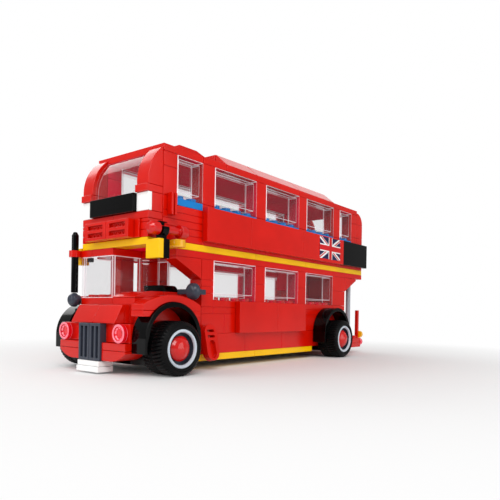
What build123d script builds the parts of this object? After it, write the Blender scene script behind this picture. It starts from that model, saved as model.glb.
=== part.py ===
from build123d import *
import os
from math import asin, cos, pi, sin

# Sizes of the brick system, in millimetres
STUD = 8.0
PLATE = 3.2
PLAY = 0.1
STUD_R = 2.4
STUD_H = 1.7
CLEAR_WALL = 1.2

# Where the bus stands: +X forward, +Y to its left (kerb) side, Z up from the floor
X_NOSE = 99.0
Z_FIRST = 0.8
HALF_WIDTH = 3 * STUD

# Stud lines, counted back from the front of the nose
LINE_REAR = 25
UPPER_WINDOWS = ((3, 5), (6, 10), (11, 15), (16, 20), (21, 23))
LOWER_WINDOWS = ((6, 10), (11, 15), (16, 20))

# Heights, counted in plates from the lowest plate
N_SILL = 1
N_WALL = 2
N_PLATFORM = 3
N_LOWER_FLOOR = 5
N_COVER = 9
N_LOWER_WINDOW = 10
N_LOWER_LINTEL = 16
N_BAND = 17
N_UPPER_WALL = 18
N_BLUE = 23
N_UPPER_WINDOW = 24
N_UPPER_LINTEL = 30
N_ROOF = 31
N_ROOF_TOP = 33

# Both long walls, as the stud lines of their right and left faces
SIDES = ((2, 3), (-3, -2))


def line_x(line):
    return X_NOSE - STUD * line


def level(plates):
    return Z_FIRST + PLATE * plates


def block(x_back, x_front, y_a, y_b, z_low, z_high, mode=Mode.ADD):
    """A plain box between the limits given."""
    middle = ((x_back + x_front) / 2, (y_a + y_b) / 2, (z_low + z_high) / 2)
    with Locations(middle):
        Box(x_front - x_back, abs(y_b - y_a), z_high - z_low, mode=mode)


def brick(front, rear, right, left, low, high):
    """A brick that fills the stud cells between the lines given, less the play."""
    block(line_x(rear) + PLAY, line_x(front) - PLAY, STUD * right + PLAY, STUD * left - PLAY,
          level(low), level(high) - PLAY)


def studs(front, rear, right, left, low):
    """One stud on every cell between the lines given."""
    along = rear - front
    across = left - right
    middle = (line_x((front + rear) / 2), STUD * (right + left) / 2, level(low) - PLAY + STUD_H / 2)
    with Locations(middle):
        with GridLocations(STUD, STUD, along, across):
            Cylinder(STUD_R, STUD_H)


def side_window(front, rear, side, low, high):
    """A clear window box in a side wall, open inwards, hollow below over the studs."""
    outer = side * (HALF_WIDTH - PLAY)
    inner = side * (HALF_WIDTH - STUD + PLAY)
    pane = outer - side * CLEAR_WALL
    x_back = line_x(rear) + PLAY
    x_front = line_x(front) - PLAY
    z_low = level(low)
    z_high = level(high) - PLAY
    foot = z_low + STUD_H + 2 * PLAY
    block(x_back, x_front, outer, inner, z_low, z_high)
    block(x_back + CLEAR_WALL, x_front - CLEAR_WALL, pane, inner, foot + CLEAR_WALL,
          z_high - CLEAR_WALL, Mode.SUBTRACT)
    block(x_back + CLEAR_WALL, x_front - CLEAR_WALL, pane, inner, z_low, foot, Mode.SUBTRACT)


def side_plane(x, side, y):
    """A drawing plane on the side of the bus: its second axis is up, its normal outwards."""
    return Plane((x, side * y, 0), x_dir=(-side, 0, 0), z_dir=(0, side, 0))


def front_plane(x):
    """A drawing plane across the bus: its first axis is +Y, its second up, its normal forward."""
    return Plane((x, 0, 0), x_dir=(0, 1, 0), z_dir=(1, 0, 0))


def dome_points(centre, radius, start, finish, steps):
    """Points along an arc about the centre, both ends among them, from one angle to the other."""
    across, along = centre
    angles = [start + (finish - start) * step / steps for step in range(steps + 1)]
    return [(across + radius * cos(angle), along + radius * sin(angle)) for angle in angles]


os.makedirs("parts", exist_ok=True)

# Chassis: a long base with a bearing block at each axle
AXLE_LINES = (2.0, 19.0)
AXLE_R = 2.4
AXLE_HALF = 33.5
AXLE_FIT = 0.05
TYRE_R = 11.6
BASE_HALF = 14.0
with BuildPart() as chassis:
    block(line_x(20), line_x(1), -BASE_HALF, BASE_HALF, level(N_SILL), level(N_WALL) - PLAY)
    for line in AXLE_LINES:
        block(line_x(line + 1) + PLAY, line_x(line - 1) - PLAY, -HALF_WIDTH + PLAY, HALF_WIDTH - PLAY,
              level(N_SILL), level(N_LOWER_FLOOR) - PLAY)
        with Locations(Location((line_x(line), 0, TYRE_R), (90, 0, 0))):
            Cylinder(AXLE_R + AXLE_FIT, 3 * HALF_WIDTH, mode=Mode.SUBTRACT)
chassis.part.label = "chassis"
export_step(chassis.part, "parts/chassis.step")

# Axles: plain shafts held in the bearing blocks
with BuildPart() as axles:
    for line in AXLE_LINES:
        with Locations(Location((line_x(line), 0, TYRE_R), (90, 0, 0))):
            Cylinder(AXLE_R, 2 * AXLE_HALF)
axles.part.label = "axles"
export_step(axles.part, "parts/axles.step")

# Wheels: tyre, rim and domed hubcap at each corner
WHEELS = (
    ("front_left", 0, 1),
    ("front_right", 0, -1),
    ("rear_left", 1, 1),
    ("rear_right", 1, -1),
)
TYRE_BORE_R = 8.2
TYRE_IN_Y = 24.4
TYRE_OUT_Y = 38.0
SHOULDER = 1.4
RIM_R = TYRE_BORE_R - 0.05
RIM_IN_Y = 25.2
RIM_FACE_Y = 37.4
RIM_WELL_Y = 35.0
RIM_WELL_R = 6.9
BORE_END_Y = AXLE_HALF + 0.2
HUBCAP_R = 5.3
HUBCAP_EDGE_Y = 36.2
HUBCAP_TOP_Y = 38.8
HUBCAP_RISE = HUBCAP_TOP_Y - HUBCAP_EDGE_Y
DOME_R = (HUBCAP_R ** 2 + HUBCAP_RISE ** 2) / (2 * HUBCAP_RISE)
DOME_ANGLE = asin(HUBCAP_R / DOME_R)
DOME_STEPS = 4
for place, axle, side in WHEELS:
    centre = (line_x(AXLE_LINES[axle]), 0, TYRE_R)
    plane = Plane(centre, x_dir=(0, side, 0), z_dir=(side, 0, 0))
    axis = Axis(centre, (0, 1, 0))
    with BuildPart() as tyre:
        with BuildSketch(plane):
            with BuildLine():
                Polyline(
                    (TYRE_IN_Y, TYRE_BORE_R),
                    (TYRE_OUT_Y, TYRE_BORE_R),
                    (TYRE_OUT_Y, TYRE_R - SHOULDER),
                    (TYRE_OUT_Y - SHOULDER, TYRE_R),
                    (TYRE_IN_Y + SHOULDER, TYRE_R),
                    (TYRE_IN_Y, TYRE_R - SHOULDER),
                    (TYRE_IN_Y, TYRE_BORE_R),
                )
            make_face()
        revolve(axis=axis)
    tyre.part.label = "tyre_" + place
    export_step(tyre.part, "parts/tyre_" + place + ".step")
    with BuildPart() as rim:
        with BuildSketch(plane):
            with BuildLine():
                Polyline(
                    (RIM_IN_Y, AXLE_R + AXLE_FIT),
                    (BORE_END_Y, AXLE_R + AXLE_FIT),
                    (BORE_END_Y, 0),
                    (RIM_WELL_Y, 0),
                    (RIM_WELL_Y, RIM_WELL_R),
                    (RIM_FACE_Y, RIM_WELL_R),
                    (RIM_FACE_Y, RIM_R),
                    (RIM_IN_Y, RIM_R),
                    (RIM_IN_Y, AXLE_R + AXLE_FIT),
                )
            make_face()
        revolve(axis=axis)
    rim.part.label = "rim_" + place
    export_step(rim.part, "parts/rim_" + place + ".step")
    with BuildPart() as hubcap:
        with BuildSketch(plane):
            with BuildLine():
                Polyline(
                    (HUBCAP_TOP_Y, 0),
                    (RIM_WELL_Y, 0),
                    (RIM_WELL_Y, HUBCAP_R),
                    *dome_points((HUBCAP_TOP_Y - DOME_R, 0), DOME_R, DOME_ANGLE, 0, DOME_STEPS),
                )
            make_face()
        revolve(axis=axis)
    hubcap.part.label = "hubcap_" + place
    export_step(hubcap.part, "parts/hubcap_" + place + ".step")

# Mudguards: a black round arch over every wheel
ARCH_OUTER_R = 15.4
ARCH_WALL = 2.1
ARCH_INNER_R = ARCH_OUTER_R - ARCH_WALL
ARCH_RISE = 4.0
ARCH_FOOT = 9.6
ARCH_OUT_Y = 33.0
ARCH_CENTRE = TYRE_R + ARCH_RISE
ARCH_TOP = ARCH_CENTRE + ARCH_OUTER_R
with BuildPart() as mudguards:
    for line in AXLE_LINES:
        for side in (1, -1):
            with BuildSketch(side_plane(line_x(line), side, HALF_WIDTH + PLAY)):
                with BuildLine():
                    Line((-ARCH_OUTER_R, ARCH_FOOT), (-ARCH_OUTER_R, ARCH_CENTRE))
                    ThreePointArc((-ARCH_OUTER_R, ARCH_CENTRE), (0, ARCH_CENTRE + ARCH_OUTER_R),
                                  (ARCH_OUTER_R, ARCH_CENTRE))
                    Polyline((ARCH_OUTER_R, ARCH_CENTRE), (ARCH_OUTER_R, ARCH_FOOT),
                             (ARCH_INNER_R, ARCH_FOOT), (ARCH_INNER_R, ARCH_CENTRE))
                    ThreePointArc((ARCH_INNER_R, ARCH_CENTRE), (0, ARCH_CENTRE + ARCH_INNER_R),
                                  (-ARCH_INNER_R, ARCH_CENTRE))
                    Polyline((-ARCH_INNER_R, ARCH_CENTRE), (-ARCH_INNER_R, ARCH_FOOT),
                             (-ARCH_OUTER_R, ARCH_FOOT))
                make_face()
            extrude(amount=ARCH_OUT_Y - HALF_WIDTH - PLAY)
mudguards.part.label = "mudguards"
export_step(mudguards.part, "parts/mudguards.step")

# Front fenders: a flat brick and a curved hump over each front arch
FENDER_HALF = ARCH_OUTER_R + 0.5
FENDER_SEAM = ARCH_TOP - 3.6
FENDER_LOW = FENDER_SEAM - 2.6
FENDER_SIDE = ARCH_TOP - 1.2
FENDER_TOP = ARCH_TOP + 3.0
OFF_FENDER_FRONT = line_x(1.5)
with BuildPart() as fenders:
    for side in (1, -1):
        with BuildSketch(side_plane(line_x(AXLE_LINES[0]), side, HALF_WIDTH + PLAY)):
            with BuildLine():
                Polyline((-FENDER_HALF, FENDER_SIDE), (-FENDER_HALF, FENDER_SEAM),
                         (FENDER_HALF, FENDER_SEAM), (FENDER_HALF, FENDER_SIDE))
                ThreePointArc((FENDER_HALF, FENDER_SIDE), (0, FENDER_TOP), (-FENDER_HALF, FENDER_SIDE))
            make_face()
            for x in (-FENDER_HALF, FENDER_HALF):
                with Locations((x / 2, (FENDER_LOW + FENDER_SEAM - PLAY) / 2)):
                    Rectangle(FENDER_HALF, FENDER_SEAM - PLAY - FENDER_LOW)
            with Locations((0, ARCH_CENTRE)):
                Circle(ARCH_OUTER_R + PLAY, mode=Mode.SUBTRACT)
        extrude(amount=STUD - 2 * PLAY)
    block(OFF_FENDER_FRONT, OFF_FENDER_FRONT + 2 * FENDER_HALF, -HALF_WIDTH, -HALF_WIDTH - STUD, FENDER_LOW - 1.0, FENDER_TOP + 1.0,
          Mode.SUBTRACT)
fenders.part.label = "front_fenders"
export_step(fenders.part, "parts/front_fenders.step")

# Floors of the two decks, the low platform at the rear and its stair
STAIR_FRONT = 19
STAIR_BACK = 23
with BuildPart() as lower_floor:
    brick(5, 12, -2, 2, N_LOWER_FLOOR, N_LOWER_FLOOR + 1)
    brick(12, 20, -2, 2, N_LOWER_FLOOR, N_LOWER_FLOOR + 1)
lower_floor.part.label = "lower_floor"
export_step(lower_floor.part, "parts/lower_floor.step")

POLE_X = line_x(23.5)
POLE_Y = 20.0
POLE_R = 1.6
POLE_TOP = 47.2
POST_TOP = 30.0
POST_Y = 21.4
with BuildPart() as rear_platform:
    brick(20, LINE_REAR, -3, 3, N_SILL, N_WALL)
    brick(20, LINE_REAR, -2, 3, N_WALL, N_PLATFORM)
    studs(22, LINE_REAR, 0, 3, N_PLATFORM)
    with Locations((POLE_X, POLE_Y, level(N_PLATFORM) + STUD_H / 2)):
        Cylinder(STUD_R + 2 * PLAY, 2 * STUD_H, mode=Mode.SUBTRACT)
    block(line_x(LINE_REAR) + PLAY, line_x(LINE_REAR) + 2.3, POST_Y - 1.0, POST_Y + 1.0,
          level(N_PLATFORM) - PLAY, POST_TOP)
rear_platform.part.label = "rear_platform"
export_step(rear_platform.part, "parts/rear_platform.step")

with BuildPart() as upper_floor:
    brick(2, 10, -2, 2, N_BAND, N_UPPER_WALL)
    brick(10, STAIR_FRONT, -2, 2, N_BAND, N_UPPER_WALL)
    brick(STAIR_FRONT, 24, 0, 2, N_BAND, N_UPPER_WALL)
    brick(STAIR_BACK, 24, -2, 0, N_BAND, N_UPPER_WALL)
upper_floor.part.label = "upper_floor"
export_step(upper_floor.part, "parts/upper_floor.step")

STEPS = 6
STEP_RUN = STUD * (STAIR_BACK - STAIR_FRONT) / STEPS
STAIR_FOOT = level(N_PLATFORM)
STEP_RISE = (level(N_BAND) - STAIR_FOOT) / STEPS
STEP_THICK = 5.0
with BuildPart() as staircase:
    with BuildSketch(Plane((line_x(STAIR_BACK), -PLAY, 0), x_dir=(1, 0, 0), z_dir=(0, -1, 0))):
        for step in range(STEPS):
            low = STAIR_FOOT if step == 0 else STAIR_FOOT + step * STEP_RISE - STEP_THICK
            high = STAIR_FOOT + (step + 1) * STEP_RISE - PLAY
            with Locations(((step + 0.5) * STEP_RUN, (low + high) / 2)):
                Rectangle(STEP_RUN + PLAY, high - low)
    extrude(amount=2 * STUD - 2 * PLAY)
staircase.part.label = "staircase"
export_step(staircase.part, "parts/staircase.step")

# Lower side walls: courses of red bricks up to the windows, then pillars and lintel,
# with the clip for the upright bar at the off corner
BAR_X = line_x(1) + 1.8
BAR_Y = -HALF_WIDTH - 3.0
HANDLE_R = 1.6
HANDLE_FIT = 0.05
LOWER_COURSES = (
    (3, 5, 2, 5),
    (5, 9, 2, 5), (9, 13, 2, 5), (13, 18, 2, 5),
    (5, 7, 5, 8), (7, 11, 5, 8), (11, 15, 5, 8), (15, 20, 5, 8),
    (5, 6, 8, 9), (6, 10, 8, 9), (10, 14, 8, 9), (14, 20, 8, 9),
    (5, 6, 9, 11), (6, 10, 9, 10), (10, 15, 9, 10), (15, 20, 9, 10),
    (5, 6, 11, 12), (5, 6, 12, 13), (5, 6, 13, 16),
    (10, 11, 10, 13), (10, 11, 13, 16), (15, 16, 10, 13), (15, 16, 13, 16),
    (3, 9, 16, 17), (9, 14, 16, 17), (14, 20, 16, 17), (20, 25, 16, 17),
)
KERB_COURSES = ((20, 22, 3, 6), (20, 22, 6, 9), (20, 22, 9, 10), (20, 22, 10, 13), (20, 22, 13, 16))
OFF_COURSES = (
    (20, 25, 3, 6), (20, 23, 6, 9), (23, 25, 6, 9), (20, 25, 9, 10),
    (20, 21, 10, 13), (21, 25, 10, 13), (20, 22, 13, 16), (22, 25, 13, 16),
    (2, 5, 5, 8), (2, 5, 8, 9), (3, 4, 10, 13), (3, 4, 13, 16),
)
with BuildPart() as lower_walls:
    for front, rear, low, high in LOWER_COURSES:
        for right, left in SIDES:
            brick(front, rear, right, left, low, high)
    for front, rear, low, high in KERB_COURSES:
        brick(front, rear, 2, 3, low, high)
    for front, rear, low, high in OFF_COURSES:
        brick(front, rear, -3, -2, low, high)
    for front, rear in LOWER_WINDOWS:
        for right, left in SIDES:
            studs(front, rear, right, left, N_LOWER_WINDOW)
    brick(1, 3, -2, 0, N_LOWER_LINTEL, N_BAND)
    brick(2, 3, -3, -2, N_LOWER_LINTEL, N_BAND)
    brick(3, 5, -2, 2, N_LOWER_LINTEL, N_BAND)
    brick(24, 25, -2, 2, N_LOWER_LINTEL, N_BAND)
    block(line_x(1) - 3.0, line_x(1) - PLAY, -4 * STUD, -2 * STUD - PLAY, level(N_LOWER_LINTEL),
          level(N_BAND) - PLAY)
    with BuildSketch(Plane.XY.offset(level(N_LOWER_LINTEL))):
        with Locations((BAR_X, BAR_Y)):
            Circle(HANDLE_R + 1.1)
            Circle(HANDLE_R + HANDLE_FIT, mode=Mode.SUBTRACT)
    extrude(amount=PLATE - PLAY)
lower_walls.part.label = "lower_walls"
export_step(lower_walls.part, "parts/lower_walls.step")

# Bulkhead behind the bonnet, and the wall beside the platform's stair
with BuildPart() as bulkhead:
    brick(5, 6, -2, 2, 6, 9)
    brick(5, 6, -2, 2, 9, 10)
    brick(5, 6, -2, -1, 10, 13)
    brick(5, 6, -2, -1, 13, 16)
    brick(24, 25, -2, 0, 3, 6)
    brick(24, 25, -2, 0, 6, 9)
    brick(24, 25, -2, 0, 9, 12)
    brick(24, 25, -2, 0, 12, 16)
bulkhead.part.label = "bulkheads"
export_step(bulkhead.part, "parts/bulkheads.step")

# Inverted slopes: under the front overhang and under the rear overhang, kerb side
INVERTED = ((5, 3, N_LOWER_LINTEL - 3), (22, 24, N_LOWER_LINTEL - 3))
LIP = 1.4
with BuildPart() as inverted_slopes:
    for foot, tip, low in INVERTED:
        with BuildSketch(Plane((0, HALF_WIDTH - PLAY, 0), x_dir=(-1, 0, 0), z_dir=(0, 1, 0))):
            with BuildLine():
                Polyline(
                    (-line_x(foot) + PLAY * (1 if tip > foot else -1), level(low)),
                    (-line_x(tip) - PLAY * (1 if tip > foot else -1), level(N_LOWER_LINTEL) - LIP),
                    (-line_x(tip) - PLAY * (1 if tip > foot else -1), level(N_LOWER_LINTEL) - PLAY),
                    (-line_x(foot) + PLAY * (1 if tip > foot else -1), level(N_LOWER_LINTEL) - PLAY),
                    (-line_x(foot) + PLAY * (1 if tip > foot else -1), level(low)),
                )
            make_face()
        extrude(amount=-(STUD - 2 * PLAY))
inverted_slopes.part.label = "inverted_slopes"
export_step(inverted_slopes.part, "parts/inverted_slopes.step")

# Lower windows: three clear boxes a side, and two clear panels in the bulkhead
with BuildPart() as lower_windows:
    for front, rear in LOWER_WINDOWS:
        for side in (1, -1):
            side_window(front, rear, side, N_LOWER_WINDOW, N_LOWER_LINTEL)
    for right, left in ((-1, 0), (0, 2)):
        block(line_x(5) - PLAY - CLEAR_WALL, line_x(5) - PLAY, STUD * right + PLAY, STUD * left - PLAY,
              level(N_LOWER_WINDOW), level(N_LOWER_LINTEL) - PLAY)
        block(line_x(6) + PLAY, line_x(5) - PLAY - CLEAR_WALL, STUD * right + PLAY, STUD * left - PLAY,
              level(N_LOWER_WINDOW), level(N_LOWER_WINDOW) + CLEAR_WALL)
lower_windows.part.label = "lower_windows"
export_step(lower_windows.part, "parts/lower_windows.step")

# Yellow sill strips along the foot of the body, each with a round front end
SILL_FRONT = 4.8
with BuildPart() as sills:
    for right, left in SIDES:
        brick(SILL_FRONT, 10, right, left, N_SILL, N_WALL)
        brick(10, 17, right, left, N_SILL, N_WALL)
        with Locations(Location((line_x(SILL_FRONT) + 0.7, STUD * (right + left) / 2,
                                 level(N_SILL) + PLATE / 2), (0, 90, 0))):
            Cylinder(1.5, 1.8)
sills.part.label = "sill_strips"
export_step(sills.part, "parts/sill_strips.step")

# Yellow blocks at the two front corners, out from the walls under the waist band
CORNER_LOW = 49.0
CORNER_HIGH = 57.0
CORNER_OUT = HALF_WIDTH + STUD + 0.5
CORNER_BACK = line_x(1) - 1.5
CORNER_FRONT = line_x(1) + 1.0
OFF_CORNER_BACK = line_x(2) + 0.5
OFF_CORNER_FRONT = line_x(1) - 3.1
OFF_CORNER_IN = HALF_WIDTH + 5.5
OFF_CORNER_OUT = HALF_WIDTH + 11.0
with BuildPart() as corner_blocks:
    block(CORNER_BACK, CORNER_FRONT, HALF_WIDTH + PLAY, CORNER_OUT, CORNER_LOW, CORNER_HIGH)
    block(OFF_CORNER_BACK, OFF_CORNER_FRONT, -OFF_CORNER_OUT, -OFF_CORNER_IN, CORNER_LOW, CORNER_HIGH)
corner_blocks.part.label = "corner_blocks"
export_step(corner_blocks.part, "parts/corner_blocks.step")

# Black clip behind the kerb block and the red handle it holds
CLIP_BACK = CORNER_BACK - 3.2
CLIP_FRONT = CORNER_BACK - PLAY
HANDLE_Y = HALF_WIDTH + 5.0
HANDLE_Z = 61.4
CLIP_R = 3.3
CLIP_MOUTH = 1.8
HEAD_R = 2.7
HEAD_FRONT = line_x(1) + 4.0
HEAD_TAPER = 1.4
KNOB_R = 3.0
KNOB_X = line_x(3) + 1.0
KNOB_STEPS = 4
with BuildPart() as corner_clip:
    block(CLIP_BACK, CLIP_FRONT, HALF_WIDTH + PLAY, CORNER_OUT, CORNER_LOW, CORNER_HIGH)
    block(CLIP_BACK, CLIP_FRONT, HANDLE_Y - CLIP_R / 2, HANDLE_Y + CLIP_R / 2, CORNER_HIGH,
          HANDLE_Z - HANDLE_R - HANDLE_FIT)
    with BuildSketch(Plane((CLIP_BACK, HANDLE_Y, HANDLE_Z), x_dir=(0, 1, 0), z_dir=(1, 0, 0))):
        Circle(CLIP_R)
        Circle(HANDLE_R + HANDLE_FIT, mode=Mode.SUBTRACT)
        with Locations((CLIP_R, CLIP_R / 2)):
            Rectangle(2 * CLIP_R, CLIP_MOUTH, mode=Mode.SUBTRACT)
    extrude(amount=CLIP_FRONT - CLIP_BACK)
    with Locations(Location((CLIP_BACK, HANDLE_Y, HANDLE_Z), (0, 90, 0))):
        Cylinder(HANDLE_R + HANDLE_FIT, STUD, mode=Mode.SUBTRACT)
corner_clip.part.label = "corner_clip"
export_step(corner_clip.part, "parts/corner_clip.step")

with BuildPart() as corner_handle:
    with BuildSketch(Plane((0, HANDLE_Y, HANDLE_Z), x_dir=(1, 0, 0), z_dir=(0, -1, 0))):
        with BuildLine():
            Polyline(
                (KNOB_X - KNOB_R, 0),
                (HEAD_FRONT, 0),
                (HEAD_FRONT, HEAD_R - HEAD_TAPER),
                (HEAD_FRONT - HEAD_TAPER, HEAD_R),
                (CLIP_FRONT + 0.4, HEAD_R),
                (CLIP_FRONT + 0.4, HANDLE_R),
                (KNOB_X + 2.5, HANDLE_R),
                (KNOB_X + 2.5, KNOB_R),
                *dome_points((KNOB_X, 0), KNOB_R, pi / 2, pi, KNOB_STEPS)[:-1],
                (KNOB_X - KNOB_R, 0),
            )
        make_face()
    revolve(axis=Axis((0, HANDLE_Y, HANDLE_Z), (1, 0, 0)))
corner_handle.part.label = "corner_handle"
export_step(corner_handle.part, "parts/corner_handle.step")

# Yellow lamps: a clear round plate out from the band on each side, and one at each rear corner
SIDE_LAMP_X = line_x(3) + 2.0
SIDE_LAMP_R = 3.2
TAIL_Y = 22.2
TAIL_R = 2.5
TURN_LAMP_Z = 12.8
TAIL_LAMP_Z = 7.6
with BuildPart() as side_lamps:
    for side in (1, -1):
        with Locations((SIDE_LAMP_X, side * (HALF_WIDTH + PLAY + SIDE_LAMP_R), level(N_BAND) + 1.5)):
            Cylinder(SIDE_LAMP_R, 2.8)
            Cylinder(SIDE_LAMP_R - 1.0, PLATE)
        with Locations(Location((line_x(LINE_REAR) - 1.0, side * TAIL_Y, TURN_LAMP_Z), (0, 90, 0))):
            Cylinder(TAIL_R, 2.0)
side_lamps.part.label = "side_lamps"
export_step(side_lamps.part, "parts/side_lamps.step")

# Upright black bar at the off corner, tapered on top
BAR_LOW = ARCH_TOP + 4.2
BAR_HIGH = 62.4
with BuildPart() as corner_bar:
    with Locations((BAR_X, BAR_Y, (BAR_LOW + BAR_HIGH) / 2)):
        Cylinder(HANDLE_R, BAR_HIGH - BAR_LOW)
    with Locations((BAR_X, BAR_Y, BAR_HIGH + HANDLE_R / 2)):
        Cone(HANDLE_R, HANDLE_R / 2, HANDLE_R)
corner_bar.part.label = "corner_bar"
export_step(corner_bar.part, "parts/corner_bar.step")

# Hanging steps: a rounded slotted plate hung out behind each front wheel
HANG_X = line_x(5.25)
HANG_Z = 12.4
HANG_OUT = 2.4
HANG_LEAN = 0.21
with BuildPart() as hanging_steps:
    for side in (1, -1):
        lean = Plane((HANG_X, side * (HALF_WIDTH + HANG_OUT), HANG_Z), x_dir=(-side, 0, 0),
                     z_dir=(0, side * cos(HANG_LEAN), sin(HANG_LEAN)))
        with BuildSketch(lean):
            SlotOverall(2 * STUD + 1.0, STUD - 2 * PLAY, rotation=90)
            with Locations((0, 5.4), (0, 2.8)):
                Rectangle(4.4, 1.2, mode=Mode.SUBTRACT)
        extrude(amount=PLATE)
        with BuildSketch(lean.offset(PLATE)):
            with Locations((0, -3.2)):
                SlotOverall(8.4, 4.0, rotation=90)
        extrude(amount=-1.8, mode=Mode.SUBTRACT)
        block(HANG_X - 2.4, HANG_X + 2.4, side * (HALF_WIDTH + PLAY), side * (HALF_WIDTH + HANG_OUT + 0.6),
              HANG_Z - 2.0, HANG_Z + 2.0)
hanging_steps.part.label = "hanging_steps"
export_step(hanging_steps.part, "parts/hanging_steps.step")

# Yellow waist band between the decks
with BuildPart() as band:
    for right, left in SIDES:
        brick(2, 10, right, left, N_BAND, N_UPPER_WALL)
        brick(10, 16, right, left, N_BAND, N_UPPER_WALL)
        brick(16, 24, right, left, N_BAND, N_UPPER_WALL)
    brick(1, 2, -3, 3, N_BAND, N_UPPER_WALL)
    brick(24, 25, -3, 3, N_BAND, N_UPPER_WALL)
band.part.label = "waist_band"
export_step(band.part, "parts/waist_band.step")

# Front wall of the upper deck: a deep course, a shallow course behind the vents, a lip
VENT_HALF = 2 * STUD
VENT_FRONT = line_x(0.5)
VENT_BACK = VENT_FRONT - PLATE
VENT_HIGH = level(N_UPPER_WALL) + STUD
SIGN_LOW = level(N_UPPER_WINDOW) - STUD
SIGN_FRONT = line_x(1) + 1.6
END_BACK = line_x(1) - 2.1
NICHE_HALF = VENT_HALF + 3.2
with BuildPart() as front_wall:
    for right, left in ((-HALF_WIDTH, -NICHE_HALF), (NICHE_HALF, HALF_WIDTH)):
        for low, high in ((N_UPPER_WALL, N_UPPER_WALL + 1), (N_UPPER_WALL + 1, N_UPPER_WALL + 2)):
            block(line_x(2) + PLAY, line_x(1) - PLAY, right + PLAY, left - PLAY, level(low),
                  level(high) - PLAY)
        block(line_x(2) + PLAY, line_x(1) - PLAY, right + PLAY, left - PLAY,
              level(N_UPPER_WALL + 2), VENT_HIGH - PLAY)
    block(line_x(2) + PLAY, VENT_BACK - PLAY, -NICHE_HALF + PLAY, NICHE_HALF - PLAY,
          level(N_UPPER_WALL), VENT_HIGH - PLAY)
    block(line_x(2) + PLAY, line_x(1) - PLAY, -HALF_WIDTH + PLAY, -PLAY, VENT_HIGH, SIGN_LOW - PLAY)
    block(line_x(2) + PLAY, line_x(1) - PLAY, PLAY, HALF_WIDTH - PLAY, VENT_HIGH, SIGN_LOW - PLAY)
    block(line_x(2) + PLAY, SIGN_FRONT - PLATE - PLAY, -2 * STUD + PLAY, 2 * STUD - PLAY, SIGN_LOW,
          level(N_UPPER_WINDOW) - PLAY)
    for right, left in SIDES:
        block(line_x(2) + PLAY, END_BACK - PLAY, STUD * right + PLAY, STUD * left - PLAY, SIGN_LOW,
              level(N_UPPER_WINDOW) - PLAY)
        block(line_x(2) + PLAY, line_x(1) + 0.9, STUD * right + PLAY, STUD * left - PLAY,
              level(N_UPPER_WINDOW), level(N_UPPER_WINDOW + 1) - PLAY)
front_wall.part.label = "front_upper_wall"
export_step(front_wall.part, "parts/front_upper_wall.step")

# Air vents: two lattice pieces side by side, each with two slots over a wavy back
VENT_SLOT_HALF = 5.6
VENT_SLOT_HIGH = 2.0
VENT_DEEP = 1.6
with BuildPart() as vents:
    for right in (-2 * STUD, 0):
        block(VENT_BACK, VENT_FRONT, right + PLAY, right + 2 * STUD - PLAY, level(N_UPPER_WALL),
              VENT_HIGH - PLAY)
        for row in (2.3, 5.7):
            z = level(N_UPPER_WALL) + row
            block(VENT_FRONT - VENT_DEEP, VENT_FRONT, right + STUD - VENT_SLOT_HALF,
                  right + STUD + VENT_SLOT_HALF, z - VENT_SLOT_HIGH / 2, z + VENT_SLOT_HIGH / 2,
                  Mode.SUBTRACT)
vents.part.label = "air_vents"
export_step(vents.part, "parts/air_vents.step")

# White blocks at each end of the front sign
with BuildPart() as end_blocks:
    for right, left in SIDES:
        block(END_BACK, line_x(1) - PLAY, STUD * right + PLAY, STUD * left - PLAY, SIGN_LOW,
              level(N_UPPER_WINDOW) - PLAY)
end_blocks.part.label = "sign_end_blocks"
export_step(end_blocks.part, "parts/sign_end_blocks.step")

# Upper side walls: courses under the windows, pillars, lintels and two thin fins a side
FIN_LOW = 69.0
FIN_HIGH = 78.6
FINS = (line_x(2) - 2.8, line_x(2) - 4.8)
UPPER_COURSES = (
    (2, 5, 18, 19), (5, 11, 18, 19), (11, 17, 18, 19), (17, 24, 18, 19),
    (2, 3, 19, 20), (3, 5, 19, 20), (5, 8, 19, 22), (8, 14, 19, 22), (14, 20, 19, 22), (20, 25, 19, 22),
    (2, 5, 20, 21), (2, 5, 21, 22), (2, 3, 22, 24), (3, 5, 22, 23),
    (5, 9, 22, 23), (9, 15, 22, 23), (15, 20, 22, 23), (20, 23, 22, 23),
    (5, 6, 23, 24), (10, 11, 23, 24), (15, 16, 23, 24), (20, 21, 23, 24),
    (2, 3, 24, 28), (2, 3, 28, 30), (5, 6, 24, 30), (10, 11, 24, 30), (15, 16, 24, 30),
    (20, 21, 24, 30), (23, 24, 22, 25), (23, 24, 25, 28), (23, 24, 28, 30),
    (24, 25, 22, 25), (24, 25, 25, 28),
    (2, 5, 30, 31), (5, 7, 30, 31), (20, 24, 30, 31),
)
with BuildPart() as upper_walls:
    for front, rear, low, high in UPPER_COURSES:
        for right, left in SIDES:
            brick(front, rear, right, left, low, high)
    brick(24, 25, -3, 3, 18, 19)
    brick(24, 25, -2, 2, 19, 22)
    brick(24, 25, -2, 2, 22, 25)
    for side in (1, -1):
        for x in FINS:
            block(x - 0.6, x + 0.6, side * (HALF_WIDTH + PLAY), side * (HALF_WIDTH + PLATE), FIN_LOW,
                  FIN_HIGH)
upper_walls.part.label = "upper_walls"
export_step(upper_walls.part, "parts/upper_walls.step")

# Upper windows: five clear boxes a side
with BuildPart() as upper_windows:
    for front, rear in UPPER_WINDOWS:
        for side in (1, -1):
            side_window(front, rear, side, N_UPPER_WINDOW, N_UPPER_LINTEL)
upper_windows.part.label = "upper_windows"
export_step(upper_windows.part, "parts/upper_windows.step")

# Blue plates under the upper windows
with BuildPart() as blue_plates:
    for front, rear in UPPER_WINDOWS:
        for right, left in SIDES:
            brick(front, rear, right, left, N_BLUE, N_UPPER_WINDOW)
            studs(front, rear, right, left, N_UPPER_WINDOW)
blue_plates.part.label = "blue_plates"
export_step(blue_plates.part, "parts/blue_plates.step")

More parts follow.
